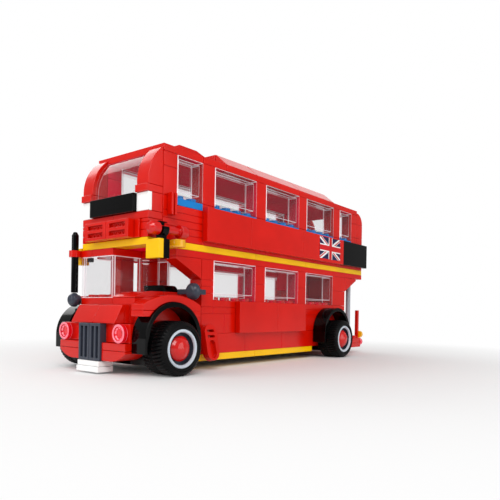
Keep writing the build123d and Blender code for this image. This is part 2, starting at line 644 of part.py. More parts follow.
# Smooth panels proud of the walls: a long row above the band, a short row between the wheels
PANEL_LOW = level(N_UPPER_WALL) + 1.6
PANEL_HIGH = PANEL_LOW + 2 * STUD
SKIRT_HIGH = level(N_LOWER_WINDOW) - PLAY
with BuildPart() as side_panels:
    for side in (1, -1):
        for front, rear in ((8, 12), (12, 15.5)):
            block(line_x(rear) + PLAY / 2, line_x(front) - PLAY / 2, side * (HALF_WIDTH + PLAY),
                  side * (HALF_WIDTH + PLATE), SKIRT_HIGH - 2 * STUD, SKIRT_HIGH)
        for front, rear in ((5, 9), (9, 15), (15, 21)):
            block(line_x(rear) + PLAY / 2, line_x(front) - PLAY / 2, side * (HALF_WIDTH + PLAY),
                  side * (HALF_WIDTH + PLATE), PANEL_LOW, PANEL_HIGH)
side_panels.part.label = "side_panels"
export_step(side_panels.part, "parts/side_panels.step")

# Blank black signs: one over the front windows, one at each rear corner
with BuildPart() as signs:
    for side in (1, -1):
        block(line_x(25) - 1.4, line_x(21) - PLAY, side * (HALF_WIDTH + PLAY),
              side * (HALF_WIDTH + PLATE), PANEL_LOW, PANEL_HIGH)
    block(SIGN_FRONT - PLATE, SIGN_FRONT, -2 * STUD + PLAY, 2 * STUD - PLAY, SIGN_LOW,
          level(N_UPPER_WINDOW) - PLAY)
signs.part.label = "blank_signs"
export_step(signs.part, "parts/blank_signs.step")

# Corner slopes: long curves at the front corners, short round ones at the rear
ENDS = (
    (1, 2, N_UPPER_WINDOW + 1, 0.36),
    (25, 24, N_UPPER_LINTEL - 2, 0.30),
)
SLOPE_HEAD = level(N_UPPER_LINTEL) + 1.6
with BuildPart() as corner_slopes:
    for tip, back, foot, bend in ENDS:
        x_tip = line_x(tip) + (-PLAY if tip < back else PLAY)
        x_back = line_x(back) + (PLAY if tip < back else -PLAY)
        x_bend = x_tip + (x_back - x_tip) * bend
        z_bend = level(foot) + (SLOPE_HEAD - level(foot)) * (1 - bend * 0.9)
        for right, left in SIDES:
            with BuildSketch(Plane((0, STUD * left - PLAY, 0), x_dir=(-1, 0, 0), z_dir=(0, 1, 0))):
                with BuildLine():
                    Polyline((-x_back, SLOPE_HEAD), (-x_back, level(foot)), (-x_tip, level(foot)))
                    ThreePointArc((-x_tip, level(foot)), (-x_bend, z_bend), (-x_back, SLOPE_HEAD))
                make_face()
            extrude(amount=-(STUD - 2 * PLAY))
corner_slopes.part.label = "corner_slopes"
export_step(corner_slopes.part, "parts/corner_slopes.step")

# Curved clear screens at both ends of the upper deck, upright below and bent over on top
SCREEN_HEAD = level(N_UPPER_LINTEL) - PLAY
SCREEN_HALF = 2 * STUD - 2 * PLAY
SCREENS = (
    (1.2, 2, N_UPPER_WINDOW, N_UPPER_WINDOW + 0.6, 0.36),
    (24.8, 24, N_UPPER_WINDOW + 1, N_UPPER_LINTEL - 2, 0.30),
)
with BuildPart() as screens:
    for tip, back, foot, start, bend in SCREENS:
        x_tip = line_x(tip)
        x_back = line_x(back)
        z_foot = level(foot) + PLAY
        z_start = level(start)
        x_bend = x_tip + (x_back - x_tip) * bend
        z_bend = z_start + (SCREEN_HEAD - z_start) * (1 - bend * 0.9)
        wall = CLEAR_WALL * (1 if x_back > x_tip else -1)
        with BuildSketch(Plane((0, SCREEN_HALF, 0), x_dir=(-1, 0, 0), z_dir=(0, 1, 0))):
            with BuildLine():
                Line((-x_tip, z_foot), (-x_tip, z_start))
                ThreePointArc((-x_tip, z_start), (-x_bend, z_bend), (-x_back, SCREEN_HEAD))
                Line((-x_back, SCREEN_HEAD), (-x_back - 1.5 * wall, SCREEN_HEAD))
                ThreePointArc((-x_back - 1.5 * wall, SCREEN_HEAD), (-x_bend - wall, z_bend - CLEAR_WALL / 2),
                              (-x_tip - wall, z_start))
                Polyline((-x_tip - wall, z_start), (-x_tip - wall, z_foot), (-x_tip, z_foot))
            make_face()
        extrude(amount=-2 * SCREEN_HALF)
screens.part.label = "end_screens"
export_step(screens.part, "parts/end_screens.step")

# Roof: flat plates, a raised middle and a low ramp near the front
RAMP_HIGH = 4.8
RAMP_LIP = 1.2
with BuildPart() as roof:
    brick(2, 8, -2, 2, N_UPPER_LINTEL, N_ROOF)
    brick(8, 16, -2, 2, N_UPPER_LINTEL, N_ROOF)
    brick(16, 24, -2, 2, N_UPPER_LINTEL, N_ROOF)
    brick(7, 14, -2, 2, N_ROOF, N_ROOF_TOP)
    brick(14, 20, -2, 2, N_ROOF, N_ROOF_TOP)
    brick(20, 23, -2, 2, N_ROOF, N_ROOF + 1)
    with BuildSketch(Plane((0, 2 * STUD - PLAY, 0), x_dir=(-1, 0, 0), z_dir=(0, 1, 0))):
        with BuildLine():
            Polyline(
                (-line_x(4) + PLAY, level(N_ROOF)),
                (-line_x(4) + PLAY, level(N_ROOF) + RAMP_HIGH),
                (-line_x(5.4), level(N_ROOF) + RAMP_HIGH),
                (-line_x(7) - PLAY, level(N_ROOF) + RAMP_LIP),
                (-line_x(7) - PLAY, level(N_ROOF)),
                (-line_x(4) + PLAY, level(N_ROOF)),
            )
        make_face()
    extrude(amount=-(4 * STUD - 2 * PLAY))
roof.part.label = "roof_plates"
export_step(roof.part, "parts/roof_plates.step")

# Roof slopes: long slope bricks above the side windows
with BuildPart() as roof_slopes:
    for side in (1, -1):
        for front, rear in ((7, 10), (10, 15), (15, 20)):
            start = line_x(rear) + PLAY
            plane = Plane((start, 0, 0), x_dir=(0, side, 0), z_dir=(1, 0, 0) if side > 0 else (-1, 0, 0))
            with BuildSketch(plane):
                with BuildLine():
                    Polyline(
                        (2 * STUD + PLAY, level(N_UPPER_LINTEL)),
                        (HALF_WIDTH - PLAY, level(N_UPPER_LINTEL)),
                        (HALF_WIDTH - PLAY, level(N_UPPER_LINTEL) + PLATE),
                        (2 * STUD + PLAY, level(N_ROOF_TOP) - PLAY),
                        (2 * STUD + PLAY, level(N_UPPER_LINTEL)),
                    )
                make_face()
            extrude(amount=side * (STUD * (rear - front) - 2 * PLAY))
roof_slopes.part.label = "roof_slopes"
export_step(roof_slopes.part, "parts/roof_slopes.step")

# Nose: two lamp bricks, the block behind the grille
NOSE_LOW = 13.6
NOSE_HIGH = level(N_COVER) - STUD
LAMP_FACE = line_x(0)
LAMP_BACK = LAMP_FACE - PLATE
with BuildPart() as nose:
    for right, left in ((1, 3), (-3, -1)):
        block(LAMP_BACK + PLAY, LAMP_FACE, STUD * right + PLAY, STUD * left - PLAY, NOSE_LOW,
              NOSE_HIGH - PLAY)
        block(line_x(1) + PLAY, LAMP_BACK - PLAY, STUD * right + PLAY, STUD * left - PLAY, NOSE_LOW,
              NOSE_HIGH - PLAY)
    block(line_x(1) + PLAY, LAMP_FACE - PLAY, -STUD + PLAY, STUD - PLAY, level(N_WALL), NOSE_HIGH - PLAY)
nose.part.label = "nose_bricks"
export_step(nose.part, "parts/nose_bricks.step")

# Bumper: each half has a thin top plate and a curved lower brick
BUMPER_FRONT = LAMP_FACE + 2.4
BUMPER_MID = 10.4
BUMPER_LOW = 5.8
BUMPER_SIDE = 9.4
with BuildPart() as bumper:
    for side in (1, -1):
        with BuildSketch(front_plane(line_x(1) + PLAY)):
            with BuildLine():
                Polyline((side * (STUD + PLAY), BUMPER_MID - PLAY), (side * (STUD + PLAY), BUMPER_LOW),
                         (side * (STUD + 4.5), BUMPER_LOW))
                ThreePointArc((side * (STUD + 4.5), BUMPER_LOW), (side * (STUD + 11.5), BUMPER_LOW + 1.1),
                              (side * (HALF_WIDTH - PLAY), BUMPER_SIDE))
                Polyline((side * (HALF_WIDTH - PLAY), BUMPER_SIDE),
                         (side * (HALF_WIDTH - PLAY), BUMPER_MID - PLAY),
                         (side * (STUD + PLAY), BUMPER_MID - PLAY))
            make_face()
        extrude(amount=BUMPER_FRONT - line_x(1) - PLAY)
        with BuildSketch(Plane.XY.offset(BUMPER_MID)):
            with Locations(((line_x(1) + PLAY + BUMPER_FRONT) / 2, side * 2 * STUD)):
                Rectangle(BUMPER_FRONT - line_x(1) - PLAY, 2 * STUD - 2 * PLAY)
        extrude(amount=NOSE_LOW - PLAY - BUMPER_MID)
bumper.part.label = "bumper"
export_step(bumper.part, "parts/bumper.step")

# Grille: two upright tiles with two slots each
GRILLE_LOW = 5.6
SLOT_LONG = 13.4
SLOT_WIDE = 1.7
with BuildPart() as grille:
    for right in (-STUD, 0):
        block(LAMP_FACE + PLAY, LAMP_FACE + PLATE, right + PLAY, right + STUD - PLAY, GRILLE_LOW,
              NOSE_HIGH - PLAY)
        for y in (right + STUD / 2 - 1.55, right + STUD / 2 + 1.55):
            z = (GRILLE_LOW + NOSE_HIGH - PLAY) / 2
            block(LAMP_FACE + PLAY + 0.8, LAMP_FACE + PLATE, y - SLOT_WIDE / 2, y + SLOT_WIDE / 2,
                  z - SLOT_LONG / 2, z + SLOT_LONG / 2, Mode.SUBTRACT)
grille.part.label = "grille"
export_step(grille.part, "parts/grille.step")

# Headlamps: round dished lenses on the lamp bricks
LAMP_Y = 2.5 * STUD
LAMP_Z = (NOSE_LOW + NOSE_HIGH) / 2
LAMP_R = 3.9
with BuildPart() as headlamps:
    for side in (1, -1):
        with BuildSketch(Plane((LAMP_FACE + PLAY, side * LAMP_Y, LAMP_Z), x_dir=(1, 0, 0), z_dir=(0, -1, 0))):
            with BuildLine():
                Polyline((0, 0), (0, 2.4), (0.9, 2.4), (0.9, LAMP_R), (3.1, LAMP_R), (3.1, LAMP_R - 0.7),
                         (2.3, 2.4), (2.0, 1.4), (2.0, 0), (0, 0))
            make_face()
        revolve(axis=Axis((LAMP_FACE, side * LAMP_Y, LAMP_Z), (1, 0, 0)))
headlamps.part.label = "headlamps"
export_step(headlamps.part, "parts/headlamps.step")

# White step block under the grille, two plates thick
STEP_FRONT = LAMP_FACE + 4.0
with BuildPart() as front_step:
    block(line_x(0.45), STEP_FRONT, -STUD, STUD, Z_FIRST, Z_FIRST + 2.4)
    block(line_x(0.45), STEP_FRONT - 0.4, -STUD + 0.2, STUD - 0.2, Z_FIRST + 2.4 + PLAY, GRILLE_LOW - PLAY)
front_step.part.label = "front_step"
export_step(front_step.part, "parts/front_step.step")

# Bonnet: block, two slope tiles across its front, cover plates and a curved top
TILE_BACK = LAMP_BACK
TILE_TOE = LAMP_FACE + 1.8
HUMP_LOW = level(N_LOWER_WINDOW)
HUMP_HIGH = level(N_LOWER_WINDOW + 1)
with BuildPart() as bonnet:
    block(line_x(0.7) + PLAY, TILE_BACK - PLAY, -2 * STUD + PLAY, 2 * STUD - PLAY, NOSE_HIGH,
          level(N_COVER) - PLAY)
    block(line_x(1) + PLAY, line_x(0.7) - PLAY, -2 * STUD + PLAY, 2 * STUD - PLAY, NOSE_HIGH,
          level(N_COVER) - PLAY)
    block(line_x(5) + PLAY, line_x(1) - PLAY, -2 * STUD + PLAY, 2 * STUD - PLAY, level(N_LOWER_FLOOR),
          level(N_COVER) - PLAY)
    brick(1, 5, 2, 3, N_LOWER_FLOOR, N_COVER)
    brick(1, 2, -3, -2, N_LOWER_FLOOR, N_COVER)
    brick(1, 3, 0, 2, N_COVER, N_LOWER_WINDOW)
    brick(3, 5, 0, 2, N_COVER, N_LOWER_WINDOW)
    brick(1, 5, -3, 0, N_COVER, N_LOWER_WINDOW)
    studs(1, 3, -3, 0, N_LOWER_WINDOW)
    for right in (-2, 0):
        with BuildSketch(Plane((0, STUD * (right + 2) - PLAY, 0), x_dir=(-1, 0, 0), z_dir=(0, 1, 0))):
            with BuildLine():
                Polyline(
                    (-TILE_BACK, NOSE_HIGH),
                    (-TILE_TOE, NOSE_HIGH),
                    (-TILE_TOE, NOSE_HIGH + 0.6),
                    (-TILE_BACK - 1.2, level(N_COVER) - PLAY),
                    (-TILE_BACK, level(N_COVER) - PLAY),
                    (-TILE_BACK, NOSE_HIGH),
                )
            make_face()
        extrude(amount=-(2 * STUD - 2 * PLAY))
    with BuildSketch(Plane((0, 2 * STUD - PLAY, 0), x_dir=(-1, 0, 0), z_dir=(0, 1, 0))):
        with BuildLine():
            Polyline((-line_x(3) - PLAY, HUMP_HIGH), (-line_x(3) - PLAY, HUMP_LOW),
                     (-line_x(1) + PLAY, HUMP_LOW), (-line_x(1) + PLAY, HUMP_LOW + 0.4))
            ThreePointArc((-line_x(1) + PLAY, HUMP_LOW + 0.4), (-line_x(1) + 4.6, HUMP_HIGH - 0.9),
                          (-line_x(1) + 10.0, HUMP_HIGH))
            Line((-line_x(1) + 10.0, HUMP_HIGH), (-line_x(3) - PLAY, HUMP_HIGH))
        make_face()
    extrude(amount=-(2 * STUD - 2 * PLAY))
    block(line_x(5) + PLAY, line_x(3) - PLAY, PLAY, 2 * STUD - PLAY, HUMP_LOW, HUMP_HIGH)
bonnet.part.label = "bonnet"
export_step(bonnet.part, "parts/bonnet.step")

# Cab windows: clear front, inner and outer panes, and a clear post beside the bonnet
CAB_FOOT = level(N_LOWER_WINDOW) + STUD_H + 2 * PLAY
CAB_HEAD = level(N_LOWER_LINTEL) - PLAY
with BuildPart() as cab_windows:
    block(line_x(1) - PLAY - CLEAR_WALL, line_x(1) - PLAY, -HALF_WIDTH + PLAY, -PLAY,
          level(N_LOWER_WINDOW), CAB_HEAD)
    for y_a, y_b in ((-PLAY, -PLAY - CLEAR_WALL), (-HALF_WIDTH + PLAY, -HALF_WIDTH + PLAY + CLEAR_WALL)):
        block(line_x(3) + PLAY, line_x(1) - 2 * PLAY - CLEAR_WALL, y_a, y_b, level(N_LOWER_WINDOW),
              CAB_HEAD)
    with Locations((line_x(3) - 1.2, 1.6, (level(N_LOWER_WINDOW + 1) + PLAY + CAB_HEAD - 2.4) / 2)):
        Cylinder(1.2, CAB_HEAD - 2.4 - level(N_LOWER_WINDOW + 1) - PLAY)
    with Locations((line_x(3) - 1.2, 1.6, CAB_HEAD - 1.8)):
        Cylinder(1.7, 1.8)
cab_windows.part.label = "cab_windows"
export_step(cab_windows.part, "parts/cab_windows.step")

# Seats: a bench in the lower saloon
with BuildPart() as seats:
    block(line_x(8.2), line_x(6.2), -15.0, -6.0, level(N_LOWER_FLOOR + 1), level(N_LOWER_FLOOR + 4))
    block(line_x(8.2), line_x(7.9), -15.0, -6.0, level(N_LOWER_FLOOR + 4), level(N_LOWER_FLOOR + 6) + 2.0)
seats.part.label = "seats"
export_step(seats.part, "parts/seats.step")

# Mirrors: a dark round dome at the kerb wall and one under the off corner bar
MIRROR_R = 3.9
OFF_MIRROR_R = 3.3
MIRROR_Z = FENDER_TOP + 2.2
MIRROR_ARM = 2.4
MIRRORS = (
    (line_x(4) + 1.0, HALF_WIDTH + PLAY + MIRROR_R, MIRROR_Z, MIRROR_R),
    (BAR_X, BAR_Y, BAR_LOW - PLAY - OFF_MIRROR_R, OFF_MIRROR_R),
)
MIRROR_STEPS = 3
MIRROR_DOME = 2.2
with BuildPart() as mirrors:
    for x, y, z, radius in MIRRORS:
        with BuildSketch(Plane((x, y, z), x_dir=(1, 0, 0), z_dir=(0, -1, 0))):
            with BuildLine():
                Polyline(
                    (0, 0),
                    (-2.4, 0),
                    (-2.4, 2.4),
                    (-0.6, 2.4),
                    (-0.6, radius),
                    *dome_points((0.4, radius - MIRROR_DOME), MIRROR_DOME, pi / 2, 0, MIRROR_STEPS),
                    (0.4 + MIRROR_DOME, 0),
                    (0, 0),
                )
            make_face()
        revolve(axis=Axis((x, y, z), (1, 0, 0)))
    block(line_x(5) + PLAY, line_x(4), HALF_WIDTH - STUD + PLAY, HALF_WIDTH + 3.0,
          MIRROR_Z - MIRROR_ARM / 2, MIRROR_Z + MIRROR_ARM / 2)
mirrors.part.label = "mirrors"
export_step(mirrors.part, "parts/mirrors.step")

# Tail lamps at the rear corners
with BuildPart() as tail_lamps:
    for side in (1, -1):
        with Locations(Location((line_x(LINE_REAR) - 1.0, side * TAIL_Y, TAIL_LAMP_Z), (0, 90, 0))):
            Cylinder(TAIL_R, 2.0)
tail_lamps.part.label = "tail_lamps"
export_step(tail_lamps.part, "parts/tail_lamps.step")

# Platform pole
with BuildPart() as pole:
    with Locations((POLE_X, POLE_Y, (level(N_PLATFORM) + POLE_TOP) / 2)):
        Cylinder(POLE_R, POLE_TOP - level(N_PLATFORM))
pole.part.label = "platform_pole"
export_step(pole.part, "parts/platform_pole.step")
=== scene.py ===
import math

import bmesh
import bpy
from bpy.props import FloatProperty, FloatVectorProperty, IntProperty, PointerProperty
from mathutils import Matrix, Vector


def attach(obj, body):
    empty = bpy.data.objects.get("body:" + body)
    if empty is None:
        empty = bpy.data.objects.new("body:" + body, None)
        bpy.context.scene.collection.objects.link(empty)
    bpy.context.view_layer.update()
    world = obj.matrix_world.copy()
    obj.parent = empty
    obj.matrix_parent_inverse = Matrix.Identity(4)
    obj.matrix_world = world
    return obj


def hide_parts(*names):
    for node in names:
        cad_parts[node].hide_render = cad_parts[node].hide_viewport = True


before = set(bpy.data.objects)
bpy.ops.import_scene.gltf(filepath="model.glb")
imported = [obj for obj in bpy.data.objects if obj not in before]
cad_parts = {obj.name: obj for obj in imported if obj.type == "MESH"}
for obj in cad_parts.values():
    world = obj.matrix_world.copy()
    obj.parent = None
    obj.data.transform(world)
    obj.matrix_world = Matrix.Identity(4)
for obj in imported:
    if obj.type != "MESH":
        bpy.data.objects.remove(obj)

bl_info = {
    "name": "Stud-brick double decker bus",
    "version": (1, 0, 0),
    "blender": (4, 5, 0),
    "location": "3D View > Sidebar > Bus",
    "description": "Dresses the packed model of a stud-brick toy bus",
    "category": "Object",
}

# Places shared by several pieces, in metres, as in the part
BODY = "bus_body"
CORNERS = ("front_left", "front_right", "rear_left", "rear_right")
AXLE_X = {"front": 0.083, "rear": -0.053}
AXLE_Z = 0.0116
HALF_WIDTH = 0.024

# Roughness and shine of each moulded plastic, whose colour BUS_PG_colours holds
PLASTICS = {
    "red": (0.20, 0.34),
    "hub": (0.12, 0.60),
    # Painted light: the faces seen through the glass get a crimson brighter than the red bricks,
    # with no shine
    "red_inside": (0.45, 0.0),
    "yellow": (0.22, 0.30),
    "blue": (0.24, 0.30),
    "black": (0.10, 0.15),
    "white": (0.25, 0.30),
    "dark_grey": (0.18, 0.30),
    "light_grey": (0.25, 0.30),
    "ring": (0.30, 0.30),
    "flag_blue": (0.30, 0.30),
    "flag_white": (0.30, 0.30),
    "flag_red": (0.30, 0.30),
}
# Haze and glow of each clear plastic and of its edges, whose colours are there too; the edges' pale
# haze and glow are a painted highlight, a glow though they are no lamp
EDGE_PAINTED_GLOW = 0.30
CLEARS = {
    "clear": (0.012, 0.0),
    "clear_edge": (0.62, EDGE_PAINTED_GLOW),
    "clear_red": (0.45, 0.0),
    "clear_red_edge": (0.75, EDGE_PAINTED_GLOW),
    "clear_yellow": (0.60, 0.0),
    "clear_yellow_edge": (0.75, EDGE_PAINTED_GLOW),
}
# Moulded plastic: scale, detail and strength of its flow marks and of its fine skin
FLOW_NOISE = (55.0, 3.0)
FLOW_STOPS = (0.3, 0.7)
FLOW_DARK, FLOW_PALE = 0.955, 1.02
GLOSS_BELOW, GLOSS_ABOVE = 0.04, 0.06
SKIN_NOISE = (900.0, 2.0)
SKIN_BUMP = 0.02
BUMP_HEIGHT = 0.0002
# Clear plastic: light that passes it, its roughness, and its reflection by angle
CLEAR_PASS = 0.975
CLEAR_ROUGH = 0.05
MIRROR_ROUGH = 0.03
MIRROR_STEEPNESS = 5.0
MIRROR_RANGE = {"To Min": 0.022, "To Max": 0.75}
# Tyre rubber: grain, its darkest and palest black, and gloss
GRAIN_NOISE = (420.0, 4.0)
GRAIN_BUMP = 0.12
RUBBER_DARK = (0.0015, 0.0015, 0.0017, 1.0)
RUBBER_PALE = (0.005, 0.005, 0.0055, 1.0)
RUBBER_GLOSS = {"Roughness": 0.42, "Specular IOR Level": 0.10}

# Nodes that get a rounded-edge copy, with their colour
BRICKS = {
    "air_vents": "red",
    "axles": "dark_grey",
    "blank_signs": "black",
    "blue_plates": "blue",
    "bonnet": "red",
    "bulkheads": "red",
    "bumper": "red",
    "chassis": "black",
    "corner_bar": "black",
    "corner_blocks": "yellow",
    "corner_clip": "black",
    "corner_handle": "hub",
    "corner_slopes": "red",
    "front_fenders": "red",
    "front_step": "white",
    "front_upper_wall": "red",
    "grille": "dark_grey",
    "hanging_steps": "red",
    "inverted_slopes": "red",
    "lower_floor": "red",
    "lower_walls": "red",
    "mirrors": "dark_grey",
    "mudguards": "black",
    "nose_bricks": "red",
    "platform_pole": "light_grey",
    "rear_platform": "red",
    "roof_plates": "red",
    "roof_slopes": "red",
    "seats": "black",
    "side_panels": "red",
    "sign_end_blocks": "white",
    "sill_strips": "yellow",
    "staircase": "red",
    "upper_floor": "red",
    "upper_walls": "red",
    "waist_band": "yellow",
}
# Nodes whose undersides and inner walls show through the glass and are painted crimson, as painted
# light brighter than the red of the bricks
SEEN_INSIDE = ("roof_plates", "upper_floor", "upper_walls", "lower_walls", "staircase")
# Those of them that also reach outside ahead of the saloon, where they stay red
OPEN_AHEAD = ("upper_floor", "lower_walls")
# Half lengths of the saloon and of the upper deck, and how far inside the wall a face counts
SALOON_REACH = 0.055
DECK_REACH = 0.084
WALL_SKIN = 0.0005
# Least part of a face's normal along an axis for the face to count as square on to it
SQUARE_ON = 0.7
# Clear nodes whose bottom edges stay clear, so the studs behind them show, and how high
STUDS_BEHIND = ("lower_windows", "upper_windows")
STUD_ZONE = 0.0024
# Nodes of clear plastic, with their colour
CLEAR_NODES = {
    "cab_windows": "clear",
    "end_screens": "clear",
    "lower_windows": "clear",
    "upper_windows": "clear",
    "headlamps": "clear_red",
    "tail_lamps": "clear_red",
    "side_lamps": "clear_yellow",
}

# Edge clean-up: distance of doubled corners, flat angle, sharp angle, lean of normals
DOUBLED = 2e-6
FLAT = math.radians(1.0)
SHARP = math.radians(28.0)
LEAN = math.radians(58.0)
# Corners of each face of a box, in the order in which add_box makes them
BOX_FACES = ((0, 1, 3, 2), (4, 6, 7, 5), (0, 4, 5, 1), (2, 3, 7, 6), (0, 2, 6, 4), (1, 5, 7, 3))

# Tyre: y of its two sides; first, middle and last point of the tread in its section; steps
# round for a block with its gap, and those of the gap; sharpest edge that is smoothed
TYRE_SIDES = (0.0244, 0.0380)
TREAD_FIRST, TREAD_MIDDLE, TREAD_LAST = 4, 8, 12
BLOCK_STEPS = 6
GAP_STEPS = 2
TREAD_CREASE = 30.0
# Pale ring: steps round, and sharpest edge that is smoothed
RING_STEPS = 96
RING_CREASE = 40.0

# Air vents: middles, rows, front and back of the ribs, and the size of a rib
VENT_Y = (-0.008, 0.008)
VENT_Z = (0.0607, 0.0641)
VENT_X = (0.0931, 0.0939)
RIB_PITCH = 0.0028
RIBS = 4
RIB_HALF = 0.00115
RIB_RISE = 0.0013
RIB_DROP = 0.0007
RIB_THIN = 0.00015
RIB_STEPS = 8

# Flag: thickness of the panel that it is printed on, how far the diagonals run past its
# corners before they are cut, and widths as shares of its height
PANEL_THICK = 0.0032
FLAG_OVERRUN = 1.4
SALTIRE_WIDE = 0.17
COUNTER_WIDE, COUNTER_SHIFT = 0.055, 0.03
EDGE_WIDE, CROSS_WIDE = 0.34, 0.23

# Cab blind and the bar across the bonnet: extents, radius and steps of their edges, and the
# radius of the bar's kerb end
BLIND = ((0.0872, -0.0229, 0.0498), (0.0889, -0.0199, 0.0519))
BLIND_EDGE = (0.0003, 3)
BAR_X = (0.0592, 0.0670)
BAR_Y = (-0.0080, 0.0080)
BAR_Z = (0.0361, 0.0396)
BAR_TURN = 0.0032
BAR_STEPS = 8
BAR_EDGE = (0.0002, 2)

# Stage: the floor and where it fades to white paper, the light of the world, and the lamps
# with their places, power in watts and size
FLOOR_HALF = 6.0
FLOOR_LOOK = {
    "Base Color": (0.86, 0.86, 0.86, 1.0), "Roughness": 0.75, "Specular IOR Level": 0.1,
}
FLOOR_FADE = {"From Min": 0.08, "From Max": 0.26}
WHITE = (1.0, 1.0, 1.0, 1.0)
WORLD_LIGHT = 0.36
LAMPS = (
    ("key", (0.55, 0.55, 0.70), 5.0, 0.55),
    ("front", (0.75, -0.25, 0.35), 2.2, 0.50),
    ("side", (-0.15, 0.85, 0.20), 2.6, 0.70),
    ("back", (-0.05, -0.85, 0.50), 2.8, 0.60),
    ("rear", (-0.90, -0.50, 0.62), 1.0, 0.60),
)
LAMP_AIM = (0.0, 0.0, 0.05)
FRAME_WIDTH_MM = 36.0
VIEW_FROM, VIEW_TO = 0.01, 20.0


def linear(channel):
    """One sRGB channel as linear light."""
    return channel / 12.92 if channel <= 0.04045 else ((channel + 0.055) / 1.055) ** 2.4


def linear_colour(colour):
    return tuple(linear(c) for c in colour) + (1.0,)


def new_material(name):
    """A material, its node tree and its Principled shader."""
    made = bpy.data.materials.new(name)
    made.use_nodes = True
    tree = made.node_tree
    return made, tree, tree.nodes["Principled BSDF"]


def set_sockets(node, values):
    for socket, value in values.items():
        node.inputs[socket].default_value = value


def add_node(tree, kind, values):
    """A new shader node with the named sockets set."""
    node = tree.nodes.new("ShaderNode" + kind)
    set_sockets(node, values)
    return node


def add_noise(tree, scale, detail):
    place = add_node(tree, "TexCoord", {})
    noise = add_node(tree, "TexNoise", {"Scale": scale, "Detail": detail})
    tree.links.new(place.outputs["Object"], noise.inputs["Vector"])
    return noise.outputs["Fac"]


def add_bump(tree, shader, height, strength):
    """Roughens a shader's surface by a height that a socket gives."""
    bump = add_node(tree, "Bump", {"Strength": strength, "Distance": BUMP_HEIGHT})
    tree.links.new(height, bump.inputs["Height"])
    tree.links.new(bump.outputs["Normal"], shader.inputs["Normal"])


def map_range(tree, value, limits):
    node = add_node(tree, "MapRange", limits)
    tree.links.new(value, node.inputs["Value"])
    return node.outputs["Result"]


def add_math(tree, operation, values):
    """What one operation makes of two values, each a number or a socket."""
    node = add_node(tree, "Math", {})
    node.operation = operation
    for socket, value in zip(node.inputs, values):
        if isinstance(value, float):
            socket.default_value = value
        else:
            tree.links.new(value, socket)
    return node.outputs["Value"]


def mix_shaders(tree, share, first, second):
    """A mix of two shaders, by a number or by what a socket gives."""
    mix = add_node(tree, "MixShader", {})
    if isinstance(share, float):
        mix.inputs["Fac"].default_value = share
    else:
        tree.links.new(share, mix.inputs["Fac"])
    tree.links.new(first.outputs[0], mix.inputs[1])
    tree.links.new(second.outputs[0], mix.inputs[2])
    return mix


def colour_ramp(tree, value, stops):
    """A colour that runs between two stops, each a position and a colour."""
    ramp = add_node(tree, "ValToRGB", {})
    for element, (position, colour) in zip(ramp.color_ramp.elements, stops):
        element.position = position
        element.color = colour
    tree.links.new(value, ramp.inputs["Fac"])
    return ramp.outputs["Color"]


def plastic(name, colour, roughness, shine):
    """Glossy moulded plastic: faint flow marks in colour and gloss, a very fine skin."""
    _, tree, shader = new_material(name)
    flow = add_noise(tree, *FLOW_NOISE)
    low = linear_colour([c * FLOW_DARK for c in colour])
    high = linear_colour([min(1.0, c * FLOW_PALE) for c in colour])
    marks = colour_ramp(tree, flow, zip(FLOW_STOPS, (low, high)))
    tree.links.new(marks, shader.inputs["Base Color"])
    gloss_range = {"To Min": roughness - GLOSS_BELOW, "To Max": roughness + GLOSS_ABOVE}
    gloss = map_range(tree, flow, gloss_range)
    tree.links.new(gloss, shader.inputs["Roughness"])
    add_bump(tree, shader, add_noise(tree, *SKIN_NOISE), SKIN_BUMP)
    set_sockets(shader, {"Specular IOR Level": shine})


def clear_plastic(name, colour, haze, painted_glow):
    """See-through moulded plastic: light passes tinted, a thin haze, reflections by angle, and a
    painted glow where one is given.
    """
    _, tree, shader = new_material(name)
    tint = linear_colour(colour)
    set_sockets(shader, {"Base Color": tint, "Emission Color": tint})
    # Emission paints light on the surface: a painted glow, which the edges use as a painted
    # highlight
    set_sockets(shader, {"Roughness": CLEAR_ROUGH, "Emission Strength": painted_glow})
    passed = linear_colour([CLEAR_PASS + (c - CLEAR_PASS) * haze for c in colour])
    body = mix_shaders(tree, haze, add_node(tree, "BsdfTransparent", {"Color": passed}), shader)
    gloss = add_node(tree, "BsdfGlossy", {"Color": WHITE, "Roughness": MIRROR_ROUGH})
    facing = add_node(tree, "LayerWeight", {"Blend": 0.5})
    steep = add_math(tree, "POWER", (facing.outputs["Facing"], MIRROR_STEEPNESS))
    side = add_node(tree, "NewGeometry", {})
    front = add_math(tree, "SUBTRACT", (1.0, side.outputs["Backfacing"]))
    outer = add_math(tree, "MULTIPLY", (map_range(tree, steep, MIRROR_RANGE), front))
    skin = mix_shaders(tree, outer, body, gloss)
    tree.links.new(skin.outputs["Shader"], tree.nodes["Material Output"].inputs["Surface"])


def rubber(name):
    """Soft black tyre rubber: matt, with a dusty sheen and a fine grain."""
    _, tree, shader = new_material(name)
    grain = add_noise(tree, *GRAIN_NOISE)
    stops = ((0.0, RUBBER_DARK), (1.0, RUBBER_PALE))
    tree.links.new(colour_ramp(tree, grain, stops), shader.inputs["Base Color"])
    set_sockets(shader, RUBBER_GLOSS)
    add_bump(tree, shader, grain, GRAIN_BUMP)


def material(name):
    """A material of the bus by its plain name, which the first operator has made."""
    found = bpy.data.materials.get("bus_" + name)
    if found is None:
        raise RuntimeError("make the materials first: " + name)
    return found


def new_piece(name, mesh, body, colour):
    """Links a finished mesh as a piece, dresses it and lets it ride on a body."""
    piece = bpy.data.objects.new(name, mesh)
    bpy.context.scene.collection.objects.link(piece)
    mesh.materials.clear()
    mesh.materials.append(material(colour))
    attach(piece, body)
    return piece


def mesh_from(builder, outward=True):
    """A mesh made by a function that fills a bmesh, with its faces turned outward if asked."""
    mesh = bpy.data.meshes.new("piece")
    work = bmesh.new()
    builder(work)
    if outward:
        bmesh.ops.recalc_face_normals(work, faces=work.faces)
    work.to_mesh(mesh)
    work.free()
    return mesh


